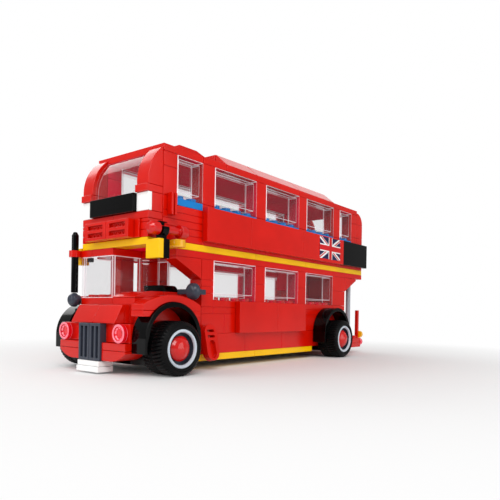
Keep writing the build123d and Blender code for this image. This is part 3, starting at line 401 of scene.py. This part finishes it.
def smooth_by_angle(mesh, degrees):
    """Smooth shading, with edges sharper than the angle kept crisp."""
    mesh.shade_smooth()
    work = bmesh.new()
    work.from_mesh(mesh)
    limit = math.radians(degrees)
    for edge in work.edges:
        edge.smooth = len(edge.link_faces) == 2 and edge.calc_face_angle(0.0) < limit
    work.to_mesh(mesh)
    work.free()


def add_box_faces(work, corners):
    for face in BOX_FACES:
        work.faces.new([corners[i] for i in face])


def add_box(work, low, high):
    corners = []
    for x in (low[0], high[0]):
        for y in (low[1], high[1]):
            for z in (low[2], high[2]):
                corners.append(work.verts.new((x, y, z)))
    add_box_faces(work, corners)


def bevelled(mesh, width, segments, edge_slot=-1):
    """Joins split corners, clears flat triangles and rounds every sharp edge."""
    work = bmesh.new()
    work.from_mesh(mesh)
    bmesh.ops.remove_doubles(work, verts=work.verts, dist=DOUBLED)
    bmesh.ops.dissolve_limit(work, angle_limit=FLAT, verts=work.verts, edges=work.edges)
    sharp = []
    for edge in work.edges:
        if len(edge.link_faces) == 2 and edge.calc_face_angle(0.0) > SHARP:
            sharp.append(edge)
    bmesh.ops.bevel(
        work, geom=sharp, offset=width, offset_type="OFFSET", segments=segments,
        profile=0.5, affect="EDGES", clamp_overlap=True, harden_normals=False, material=edge_slot,
    )
    bmesh.ops.recalc_face_normals(work, faces=work.faces)
    work.to_mesh(mesh)
    work.free()
    mesh.shade_smooth()
    lean_normals(mesh)


def lean_normals(mesh):
    """Corner normals that lean to the larger faces near, so flat faces shade flat."""
    limit = math.cos(LEAN)
    around = [[] for _ in mesh.vertices]
    faces = [(face.normal.copy(), face.area) for face in mesh.polygons]
    for face in mesh.polygons:
        for vertex in face.vertices:
            around[vertex].append(face.index)
    normals = [None] * len(mesh.loops)
    for face in mesh.polygons:
        own = faces[face.index][0]
        for loop in face.loop_indices:
            total = Vector((0.0, 0.0, 0.0))
            for index in around[mesh.loops[loop].vertex_index]:
                normal, area = faces[index]
                if normal.dot(own) > limit:
                    total += normal * area
            normals[loop] = total.normalized() if total.length > 0.0 else own
    mesh.normals_split_custom_set(normals)


def paint_inside_light(mesh, node):
    """Paints the faces that show through the glass with painted light, a brighter crimson without
    shine, as the second material.
    """
    mesh.materials.append(material("red_inside"))
    reach = SALOON_REACH if node in OPEN_AHEAD else DECK_REACH
    ends_seen = node != "roof_plates"
    for face in mesh.polygons:
        centre, normal = face.center, face.normal
        inside = abs(centre.y) < HALF_WIDTH - WALL_SKIN and abs(centre.x) < reach
        inward = normal.y * centre.y < 0 and abs(normal.y) > SQUARE_ON
        across = ends_seen and abs(normal.x) > SQUARE_ON and abs(centre.x) < SALOON_REACH
        if inside and (normal.z < -SQUARE_ON or inward or across):
            face.material_index = 1


def clear_foot(mesh):
    """Keeps the bottom edges of a row of windows as clear as the panes, without the edges' painted
    highlight.
    """
    bottom = min(vertex.co.z for vertex in mesh.vertices)
    for face in mesh.polygons:
        if face.center.z < bottom + STUD_ZONE:
            face.material_index = 0


def turned(section, corner, steps, depth=None):
    """A section of (y, radius) points turned round a wheel's axle, less a depth where given."""
    side = 1 if corner.endswith("left") else -1
    centre_x = AXLE_X[corner.split("_")[0]]

    def build(work):
        rings = []
        for step in range(steps):
            angle = 2.0 * math.pi * step / steps
            ring = []
            for index, (y, r) in enumerate(section):
                if depth:
                    r = r - depth(step, index)
                x, z = centre_x + r * math.cos(angle), AXLE_Z + r * math.sin(angle)
                ring.append(work.verts.new((x, side * y, z)))
            rings.append(ring)
        for step, here in enumerate(rings):
            there = rings[(step + 1) % steps]
            for index in range(len(section)):
                after = (index + 1) % len(section)
                work.faces.new((here[index], here[after], there[after], there[index]))

    return mesh_from(build)


class BUS_PG_colours(bpy.types.PropertyGroup):
    red: FloatVectorProperty(
        name="Red bricks", description="Colour of the body's bricks", size=3,
        default=(0.83, 0.06, 0.0), min=0.0, max=1.0, subtype="COLOR_GAMMA",
    )
    hub: FloatVectorProperty(
        name="Hubcaps", description="Colour of the hubcaps and the corner handle", size=3,
        default=(0.82, 0.04, 0.02), min=0.0, max=1.0, subtype="COLOR_GAMMA",
    )
    # Painted light: a crimson brighter than the red bricks, for the faces seen through the glass
    red_inside: FloatVectorProperty(
        name="Red inside", description="Colour of the bricks seen through the glass", size=3,
        default=(1.0, 0.08, 0.24), min=0.0, max=1.0, subtype="COLOR_GAMMA",
    )
    yellow: FloatVectorProperty(
        name="Yellow bricks", description="Colour of the bands, sills and corner blocks", size=3,
        default=(0.99, 0.77, 0.01), min=0.0, max=1.0, subtype="COLOR_GAMMA",
    )
    blue: FloatVectorProperty(
        name="Blue plates", description="Colour of the blue plates of the upper deck", size=3,
        default=(0.02, 0.48, 0.78), min=0.0, max=1.0, subtype="COLOR_GAMMA",
    )
    black: FloatVectorProperty(
        name="Black pieces", description="Colour of the chassis, signs, seats and mudguards", size=3,
        default=(0.006, 0.006, 0.008), min=0.0, max=1.0, subtype="COLOR_GAMMA",
    )
    white: FloatVectorProperty(
        name="White bricks", description="Colour of the sign's ends and the front step", size=3,
        default=(0.99, 0.99, 0.98), min=0.0, max=1.0, subtype="COLOR_GAMMA",
    )
    dark_grey: FloatVectorProperty(
        name="Dark grey pieces", description="Colour of the grille, mirrors, rims and axles", size=3,
        default=(0.22, 0.24, 0.29), min=0.0, max=1.0, subtype="COLOR_GAMMA",
    )
    light_grey: FloatVectorProperty(
        name="Light grey pieces", description="Colour of the platform's pole", size=3,
        default=(0.62, 0.64, 0.67), min=0.0, max=1.0, subtype="COLOR_GAMMA",
    )
    ring: FloatVectorProperty(
        name="Rim ring", description="Colour of the pale ring on each rim", size=3,
        default=(0.78, 0.82, 0.86), min=0.0, max=1.0, subtype="COLOR_GAMMA",
    )
    flag_blue: FloatVectorProperty(
        name="Flag blue", description="Colour of the flag's field", size=3,
        default=(0.07, 0.08, 0.28), min=0.0, max=1.0, subtype="COLOR_GAMMA",
    )
    flag_white: FloatVectorProperty(
        name="Flag white", description="Colour of the flag's white bands", size=3,
        default=(0.95, 0.95, 0.95), min=0.0, max=1.0, subtype="COLOR_GAMMA",
    )
    flag_red: FloatVectorProperty(
        name="Flag red", description="Colour of the flag's red bands", size=3,
        default=(0.82, 0.05, 0.08), min=0.0, max=1.0, subtype="COLOR_GAMMA",
    )
    clear: FloatVectorProperty(
        name="Window glass", description="Colour of the windows", size=3,
        default=(0.93, 0.90, 0.97), min=0.0, max=1.0, subtype="COLOR_GAMMA",
    )
    # Painted highlight: pale colour of the windows' edges, which also glow
    clear_edge: FloatVectorProperty(
        name="Window edges", description="Colour of the windows' edges", size=3,
        default=(1.0, 0.96, 0.98), min=0.0, max=1.0, subtype="COLOR_GAMMA",
    )
    clear_red: FloatVectorProperty(
        name="Red lamps", description="Colour of the headlamps and tail lamps", size=3,
        default=(0.96, 0.06, 0.14), min=0.0, max=1.0, subtype="COLOR_GAMMA",
    )
    # Painted highlight: pale pink of the red lamps' edges, which also glow
    clear_red_edge: FloatVectorProperty(
        name="Red lamp edges", description="Colour of the edges of the red lamps", size=3,
        default=(1.0, 0.52, 0.60), min=0.0, max=1.0, subtype="COLOR_GAMMA",
    )
    clear_yellow: FloatVectorProperty(
        name="Yellow lamps", description="Colour of the side lamps", size=3,
        default=(1.0, 0.78, 0.02), min=0.0, max=1.0, subtype="COLOR_GAMMA",
    )
    # Painted highlight: pale yellow of the side lamps' edges, which also glow
    clear_yellow_edge: FloatVectorProperty(
        name="Yellow lamp edges", description="Colour of the edges of the side lamps", size=3,
        default=(1.0, 0.88, 0.35), min=0.0, max=1.0, subtype="COLOR_GAMMA",
    )


class BUS_PG_bricks(bpy.types.PropertyGroup):
    bevel: FloatProperty(
        name="Edge radius", description="Radius of the moulded edge of a brick", default=0.00022,
        unit="LENGTH", precision=5,
    )
    segments: IntProperty(name="Edge steps", description="Faces across a rounded edge", default=2)
    clear_bevel: FloatProperty(
        name="Clear edge radius", description="Radius of the edge of a clear piece", default=0.00032,
        unit="LENGTH", precision=5,
    )


class BUS_PG_wheels(bpy.types.PropertyGroup):
    ring_inner: FloatProperty(
        name="Ring inner radius", description="Inner radius of the pale ring", default=0.0068,
        unit="LENGTH", precision=5,
    )
    ring_outer: FloatProperty(
        name="Ring outer radius", description="Outer radius of the pale ring", default=0.0083,
        unit="LENGTH", precision=5,
    )
    tyre_radius: FloatProperty(
        name="Tyre radius", description="Outer radius of the tyre", default=0.0116, unit="LENGTH",
        precision=5,
    )
    bore_radius: FloatProperty(
        name="Bore radius", description="Inner radius of the tyre", default=0.0082, unit="LENGTH",
        precision=5,
    )
    tread_blocks: IntProperty(name="Tread blocks", description="Blocks round the tread", default=46)
    groove: FloatProperty(
        name="Groove depth", description="Depth of the tread's grooves", default=0.00055,
        unit="LENGTH", precision=5,
    )


class BUS_PG_trim(bpy.types.PropertyGroup):
    flag_centre: FloatVectorProperty(
        name="Flag centre", description="Middle of the flag along the bus and up", size=2,
        default=(-0.0515, 0.0686), subtype="TRANSLATION", precision=5,
    )
    flag_size: FloatVectorProperty(
        name="Flag size", description="Length and height of the flag", size=2,
        default=(0.0250, 0.0136), subtype="XYZ", precision=5,
    )
    film: FloatProperty(
        name="Print thickness", description="How far a printed film stands proud", default=0.00003,
        unit="LENGTH", precision=6,
    )


class BUS_PG_stage(bpy.types.PropertyGroup):
    eye: FloatVectorProperty(
        name="Camera place", description="Where the camera stands", size=3,
        default=(0.2286, 0.1949, 0.0271), subtype="TRANSLATION", precision=4,
    )
    heading: FloatProperty(
        name="Heading", description="Direction of view, turned from the front of the bus",
        default=math.radians(-142.8), subtype="ANGLE",
    )
    roll: FloatProperty(name="Roll", description="Tilt of the picture", default=math.radians(0.94),
                        subtype="ANGLE")
    lens: FloatProperty(name="Lens", description="Focal length in millimetres on a 36 mm frame",
                        default=36.66)
    shift: FloatVectorProperty(name="Shift", description="Shift of the frame", size=2,
                               default=(-0.046, 0.126))


class BUS_OT_materials(bpy.types.Operator):
    """Makes every material and dresses the tyres, rims and hubcaps"""
    bl_idname = "bus.materials"
    bl_label = "Make materials"

    def execute(self, context):
        colours = context.scene.bus_colours
        for name, (roughness, shine) in PLASTICS.items():
            plastic("bus_" + name, getattr(colours, name), roughness, shine)
        for name, (haze, painted_glow) in CLEARS.items():
            clear_plastic("bus_" + name, getattr(colours, name), haze, painted_glow)
        rubber("bus_tyre")
        for corner in CORNERS:
            for part, colour in (("tyre_", "tyre"), ("rim_", "dark_grey"), ("hubcap_", "hub")):
                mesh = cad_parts[part + corner].data
                mesh.materials.clear()
                mesh.materials.append(material(colour))
        return {"FINISHED"}


class BUS_OT_bricks(bpy.types.Operator):
    """Stands a copy with rounded edges in for every brick"""
    bl_idname = "bus.bricks"
    bl_label = "Round the bricks"

    def execute(self, context):
        props = context.scene.bus_bricks
        missing = sorted(set(BRICKS) - set(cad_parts))
        if missing:
            raise RuntimeError("the frame has no node named " + ", ".join(missing))
        for node, colour in BRICKS.items():
            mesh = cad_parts[node].data.copy()
            bevelled(mesh, props.bevel, props.segments)
            piece = new_piece(node + "_rounded", mesh, BODY, colour)
            # The faces seen through the glass get painted light, a brighter crimson
            if node in SEEN_INSIDE:
                paint_inside_light(mesh, node)
            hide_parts(node)
        return {"FINISHED"}


class BUS_OT_clears(bpy.types.Operator):
    """Stands a copy with rounded edges in for every clear piece"""
    bl_idname = "bus.clears"
    bl_label = "Round the clear pieces"

    def execute(self, context):
        props = context.scene.bus_bricks
        for node, colour in CLEAR_NODES.items():
            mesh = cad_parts[node].data.copy()
            piece = new_piece(node + "_rounded", mesh, BODY, colour)
            # The rounded edges take the edge material, a painted highlight that glows
            mesh.materials.append(material(colour + "_edge"))
            bevelled(mesh, props.clear_bevel, props.segments, edge_slot=1)
            if node in STUDS_BEHIND:
                clear_foot(mesh)
            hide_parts(node)
        return {"FINISHED"}


def tyre_profile(radius, bore, inner, outer):
    """Points across the tyre from the inner bore edge round to the outer bore edge: (y, r)."""
    wall = radius - bore
    return (
        (inner, bore),
        (inner, bore + wall * 0.25),
        (inner + 0.00005, bore + wall * 0.50),
        (inner + 0.00045, bore + wall * 0.74),
        (inner + 0.0011, radius - 0.0001),
        (inner + 0.0022, radius),
        (inner + 0.0040, radius),
        (inner + 0.0056, radius),
        (inner + 0.0068, radius),
        (inner + 0.0080, radius),
        (outer - 0.0040, radius),
        (outer - 0.0024, radius),
        (outer - 0.0012, radius - 0.00012),
        (outer - 0.0005, radius - 0.0007),
        (outer - 0.0001, radius - 0.0014),
        (outer + 0.00008, radius - 0.00165),
        (outer + 0.00008, radius - 0.0020),
        (outer - 0.00008, radius - 0.00215),
        (outer + 0.0001, bore + wall * 0.25),
        (outer, bore + 0.00025),
        (outer - 0.0002, bore),
    )


class BUS_OT_tyres(bpy.types.Operator):
    """Builds each tyre with its tread blocks and the groove between them"""
    bl_idname = "bus.tyres"
    bl_label = "Build the tyres"

    def execute(self, context):
        props = context.scene.bus_wheels
        profile = tyre_profile(props.tyre_radius, props.bore_radius, *TYRE_SIDES)

        def groove(step, index):
            """Depth cut at a point: slanted gaps between the blocks and a groove in the middle."""
            if not TREAD_FIRST <= index <= TREAD_LAST:
                return 0.0
            lean = index - TREAD_FIRST if index < TREAD_MIDDLE else TREAD_LAST - index
            cut = (step + lean) % BLOCK_STEPS < GAP_STEPS or index == TREAD_MIDDLE
            return props.groove if cut else 0.0

        for corner in CORNERS:
            mesh = turned(profile, corner, props.tread_blocks * BLOCK_STEPS, groove)
            smooth_by_angle(mesh, TREAD_CREASE)
            piece = new_piece("tyre_" + corner + "_treaded", mesh, "wheel_" + corner, "tyre")
            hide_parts("tyre_" + corner)
        return {"FINISHED"}


class BUS_OT_rings(bpy.types.Operator):
    """Lays the pale ring on each rim"""
    bl_idname = "bus.rings"
    bl_label = "Build the pale rings"

    def execute(self, context):
        props = context.scene.bus_wheels
        middle = (props.ring_inner + props.ring_outer) / 2
        # From the ring's inner foot over its crown to its outer foot: (y, r)
        section = (
            (0.03705, props.ring_inner),
            (0.03760, props.ring_inner + 0.0001),
            (0.03795, middle - 0.0004),
            (0.03805, middle),
            (0.03795, middle + 0.0004),
            (0.03765, props.ring_outer - 0.0001),
            (0.03705, props.ring_outer - 0.00015),
        )
        for corner in CORNERS:
            mesh = turned(section, corner, RING_STEPS)
            smooth_by_angle(mesh, RING_CREASE)
            new_piece("rim_ring_" + corner, mesh, "wheel_" + corner, "ring")
        return {"FINISHED"}


def clipped(shape, half_long, half_high):
    """A convex outline cut to the flag's rectangle."""
    points = [Vector(p) for p in shape]
    sides = ((0, half_long, 1), (0, half_long, -1), (1, half_high, 1), (1, half_high, -1))
    for axis, limit, sign in sides:
        kept = []
        for index, point in enumerate(points):
            before = points[index - 1]
            inside = point[axis] * sign <= limit + 1e-9
            was_inside = before[axis] * sign <= limit + 1e-9
            if inside != was_inside:
                share = (limit * sign - before[axis]) / (point[axis] - before[axis])
                kept.append(before.lerp(point, share))
            if inside:
                kept.append(point)
        points = kept
    return points


def strip(start, end, width, lift=0.0):
    """A straight band between two points, moved sideways by lift."""
    start, end = Vector(start), Vector(end)
    along = (end - start).normalized()
    across = Vector((-along.y, along.x))
    a = lift - width / 2
    b = lift + width / 2
    return (start + across * a, end + across * a, end + across * b, start + across * b)


class BUS_OT_flags(bpy.types.Operator):
    """Prints the national flag on the panel of each side"""
    bl_idname = "bus.flags"
    bl_label = "Print the flags"

    def execute(self, context):
        props = context.scene.bus_trim
        long, high = props.flag_size
        a, b = long / 2, high / 2
        end, rise = a * FLAG_OVERRUN, b * FLAG_OVERRUN
        field = ((-a, -b), (a, -b), (a, b), (-a, b))
        layers = (
            ("flag_field", "flag_blue", (field,)),
            ("flag_saltire", "flag_white", (
                strip((-end, -rise), (end, rise), high * SALTIRE_WIDE),
                strip((-end, rise), (end, -rise), high * SALTIRE_WIDE),
            )),
            ("flag_counter", "flag_red", tuple(
                strip((0, 0), tip, high * COUNTER_WIDE, -high * COUNTER_SHIFT)
                for tip in ((end, rise), (-end, -rise), (-end, rise), (end, -rise))
            )),
            ("flag_edge", "flag_white", (
                strip((-a, 0), (a, 0), high * EDGE_WIDE), strip((0, -b), (0, b), high * EDGE_WIDE),
            )),
            ("flag_cross", "flag_red", (
                strip((-a, 0), (a, 0), high * CROSS_WIDE), strip((0, -b), (0, b), high * CROSS_WIDE),
            )),
        )
        for side, side_name in ((1, "left"), (-1, "right")):
            laid = 0
            for name, colour, shapes in layers:

                def build(work):
                    for index, shape in enumerate(shapes):
                        y = side * (HALF_WIDTH + PANEL_THICK + props.film * (laid + index + 1))
                        verts = []
                        for point in clipped(shape, a, b):
                            x = props.flag_centre[0] - side * point.x
                            verts.append(work.verts.new((x, y, props.flag_centre[1] + point.y)))
                        face = work.faces.new(verts)
                        face.normal_update()
                        if face.normal.y * side < 0:
                            face.normal_flip()

                mesh = mesh_from(build, outward=False)
                new_piece(name + "_" + side_name, mesh, BODY, colour)
                laid += len(shapes)
        return {"FINISHED"}


def rib_arches():
    """The middle lines of all ribs, each an arch of (y, z) points."""
    for centre_y in VENT_Y:
        for centre_z in VENT_Z:
            for index in range(RIBS):
                y = centre_y + (index - (RIBS - 1) / 2) * RIB_PITCH
                turns = [math.pi * step / RIB_STEPS for step in range(RIB_STEPS + 1)]
                yield [
                    (y + RIB_HALF * math.cos(turn), centre_z - RIB_DROP + RIB_RISE * math.sin(turn))
                    for turn in turns
                ]


class BUS_OT_vents(bpy.types.Operator):
    """Sets the wavy ribs behind the slots of the air vents"""
    bl_idname = "bus.vents"
    bl_label = "Build the vent ribs"

    def execute(self, context):
        def build(work):
            for points in rib_arches():
                for start, end in zip(points, points[1:]):
                    lean = Vector((end[0] - start[0], end[1] - start[1])).normalized() * RIB_THIN
                    across = Vector((-lean.y, lean.x))
                    corners = []
                    for x in VENT_X:
                        for sign in (-1, 1):
                            for y, z in (start, end):
                                place = (x, y + sign * across.x, z + sign * across.y)
                                corners.append(work.verts.new(place))
                    add_box_faces(work, corners)

        new_piece("vent_ribs", mesh_from(build), BODY, "red")
        return {"FINISHED"}


class BUS_OT_blind(bpy.types.Operator):
    """Hangs the black blind at the top of the driver's window"""
    bl_idname = "bus.blind"
    bl_label = "Build the cab blind"

    def execute(self, context):
        mesh = mesh_from(lambda work: add_box(work, *BLIND))
        bevelled(mesh, *BLIND_EDGE)
        new_piece("cab_blind", mesh, BODY, "black")
        return {"FINISHED"}


class BUS_OT_bonnet_bar(bpy.types.Operator):
    """Lays the black bar with one rounded end across the bonnet behind the clear post"""
    bl_idname = "bus.bonnet_bar"
    bl_label = "Build the bonnet bar"

    def execute(self, context):
        (near, far), (low, high) = BAR_Y, BAR_Z
        outline = [(near, low), (far, low)]
        for step in range(BAR_STEPS + 1):
            angle = math.pi / 2 * step / BAR_STEPS
            y = far - BAR_TURN + BAR_TURN * math.cos(angle)
            outline.append((y, high - BAR_TURN + BAR_TURN * math.sin(angle)))
        outline.append((near, high))

        def build(work):
            ends = [[work.verts.new((x, y, z)) for y, z in outline] for x in BAR_X]
            work.faces.new(ends[0])
            work.faces.new(ends[1])
            for index in range(len(outline)):
                after = (index + 1) % len(outline)
                work.faces.new((ends[0][index], ends[0][after], ends[1][after], ends[1][index]))

        mesh = mesh_from(build)
        bevelled(mesh, *BAR_EDGE)
        new_piece("bonnet_bar", mesh, BODY, "black")
        return {"FINISHED"}


def lay_floor(scene):
    """A pale floor that fades to white paper away from the bus, for the camera alone."""
    def fill(work):
        bmesh.ops.create_grid(work, x_segments=1, y_segments=1, size=FLOOR_HALF)

    floor = mesh_from(fill)
    piece = bpy.data.objects.new("floor", floor)
    scene.collection.objects.link(piece)
    made, tree, shader = new_material("stage_floor")
    set_sockets(shader, FLOOR_LOOK)
    floor.materials.append(made)
    place = add_node(tree, "TexCoord", {})
    away = add_node(tree, "VectorMath", {})
    away.operation = "LENGTH"
    tree.links.new(place.outputs["Object"], away.inputs[0])
    far = map_range(tree, away.outputs["Value"], FLOOR_FADE)
    ray = add_node(tree, "LightPath", {})
    both = add_math(tree, "MULTIPLY", (far, ray.outputs["Is Camera Ray"]))
    paper = add_node(tree, "Emission", {"Color": WHITE})
    blend = mix_shaders(tree, both, shader, paper)
    tree.links.new(blend.outputs["Shader"], tree.nodes["Material Output"].inputs["Surface"])


def light_world(scene):
    """An even pale sky, which the camera sees as white."""
    world = bpy.data.worlds.new("studio")
    world.use_nodes = True
    scene.world = world
    tree = world.node_tree
    sky = tree.nodes["Background"]
    set_sockets(sky, {"Color": WHITE, "Strength": WORLD_LIGHT})
    seen = add_node(tree, "Background", {"Color": WHITE, "Strength": 1.0})
    path = add_node(tree, "LightPath", {})
    mix = mix_shaders(tree, path.outputs["Is Camera Ray"], sky, seen)
    tree.links.new(mix.outputs["Shader"], tree.nodes["World Output"].inputs["Surface"])


def hang_lamps(scene):
    for name, place, energy, size in LAMPS:
        light = bpy.data.lights.new(name, "AREA")
        light.energy = energy
        light.size = size
        lamp = bpy.data.objects.new(name, light)
        scene.collection.objects.link(lamp)
        lamp.location = place
        aim = Vector(LAMP_AIM) - Vector(place)
        lamp.rotation_euler = aim.to_track_quat("-Z", "Y").to_euler()


def set_camera(scene, props):
    """The camera at the photograph's place, turned by its heading and roll."""
    heading, roll = props.heading, props.roll
    forward = Vector((math.cos(heading), math.sin(heading), 0.0))
    level_right = Vector((math.sin(heading), -math.cos(heading), 0.0))
    level_up = Vector((0.0, 0.0, 1.0))
    right = math.cos(roll) * level_right + math.sin(roll) * level_up
    up = math.cos(roll) * level_up - math.sin(roll) * level_right
    data = bpy.data.cameras.new("photo_camera")
    data.lens = props.lens
    data.sensor_width = FRAME_WIDTH_MM
    data.shift_x, data.shift_y = props.shift
    data.clip_start = VIEW_FROM
    data.clip_end = VIEW_TO
    camera = bpy.data.objects.new("photo_camera", data)
    scene.collection.objects.link(camera)
    turn = Matrix((right, up, -forward)).transposed().to_4x4()
    camera.matrix_world = Matrix.Translation(Vector(props.eye)) @ turn
    scene.camera = camera


class BUS_OT_stage(bpy.types.Operator):
    """Sets the floor, the soft studio light and the camera"""
    bl_idname = "bus.stage"
    bl_label = "Set the stage"

    def execute(self, context):
        scene = context.scene
        lay_floor(scene)
        light_world(scene)
        hang_lamps(scene)
        set_camera(scene, scene.bus_stage)
        scene.view_settings.view_transform = "Standard"
        return {"FINISHED"}


STEPS = (
    BUS_OT_materials, BUS_OT_bricks, BUS_OT_clears, BUS_OT_tyres, BUS_OT_rings, BUS_OT_flags,
    BUS_OT_vents, BUS_OT_blind, BUS_OT_bonnet_bar, BUS_OT_stage,
)
GROUPS = (
    ("bus_colours", BUS_PG_colours), ("bus_bricks", BUS_PG_bricks), ("bus_wheels", BUS_PG_wheels),
    ("bus_trim", BUS_PG_trim), ("bus_stage", BUS_PG_stage),
)


class BUS_PT_panel(bpy.types.Panel):
    """Sizes and steps of the dressed bus"""
    bl_idname = "BUS_PT_panel"
    bl_label = "Double decker bus"
    bl_space_type = "VIEW_3D"
    bl_region_type = "UI"
    bl_category = "Bus"

    def draw(self, context):
        for attribute, group in GROUPS:
            box = self.layout.box()
            owner = getattr(context.scene, attribute)
            for name in group.__annotations__:
                box.prop(owner, name)
        for step in STEPS:
            self.layout.operator(step.bl_idname)


def register():
    for _, group in GROUPS:
        bpy.utils.register_class(group)
    for attribute, group in GROUPS:
        setattr(bpy.types.Scene, attribute, PointerProperty(type=group))
    for step in STEPS:
        bpy.utils.register_class(step)
    bpy.utils.register_class(BUS_PT_panel)


def unregister():
    bpy.utils.unregister_class(BUS_PT_panel)
    for step in reversed(STEPS):
        bpy.utils.unregister_class(step)
    for attribute, group in reversed(GROUPS):
        delattr(bpy.types.Scene, attribute)
        bpy.utils.unregister_class(group)


def main():
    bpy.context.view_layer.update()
    register()
    bpy.ops.bus.materials()
    bpy.ops.bus.bricks()
    bpy.ops.bus.clears()
    bpy.ops.bus.tyres()
    bpy.ops.bus.rings()
    bpy.ops.bus.flags()
    bpy.ops.bus.vents()
    bpy.ops.bus.blind()
    bpy.ops.bus.bonnet_bar()
    bpy.ops.bus.stage()


if __name__ == "__main__":
    main()
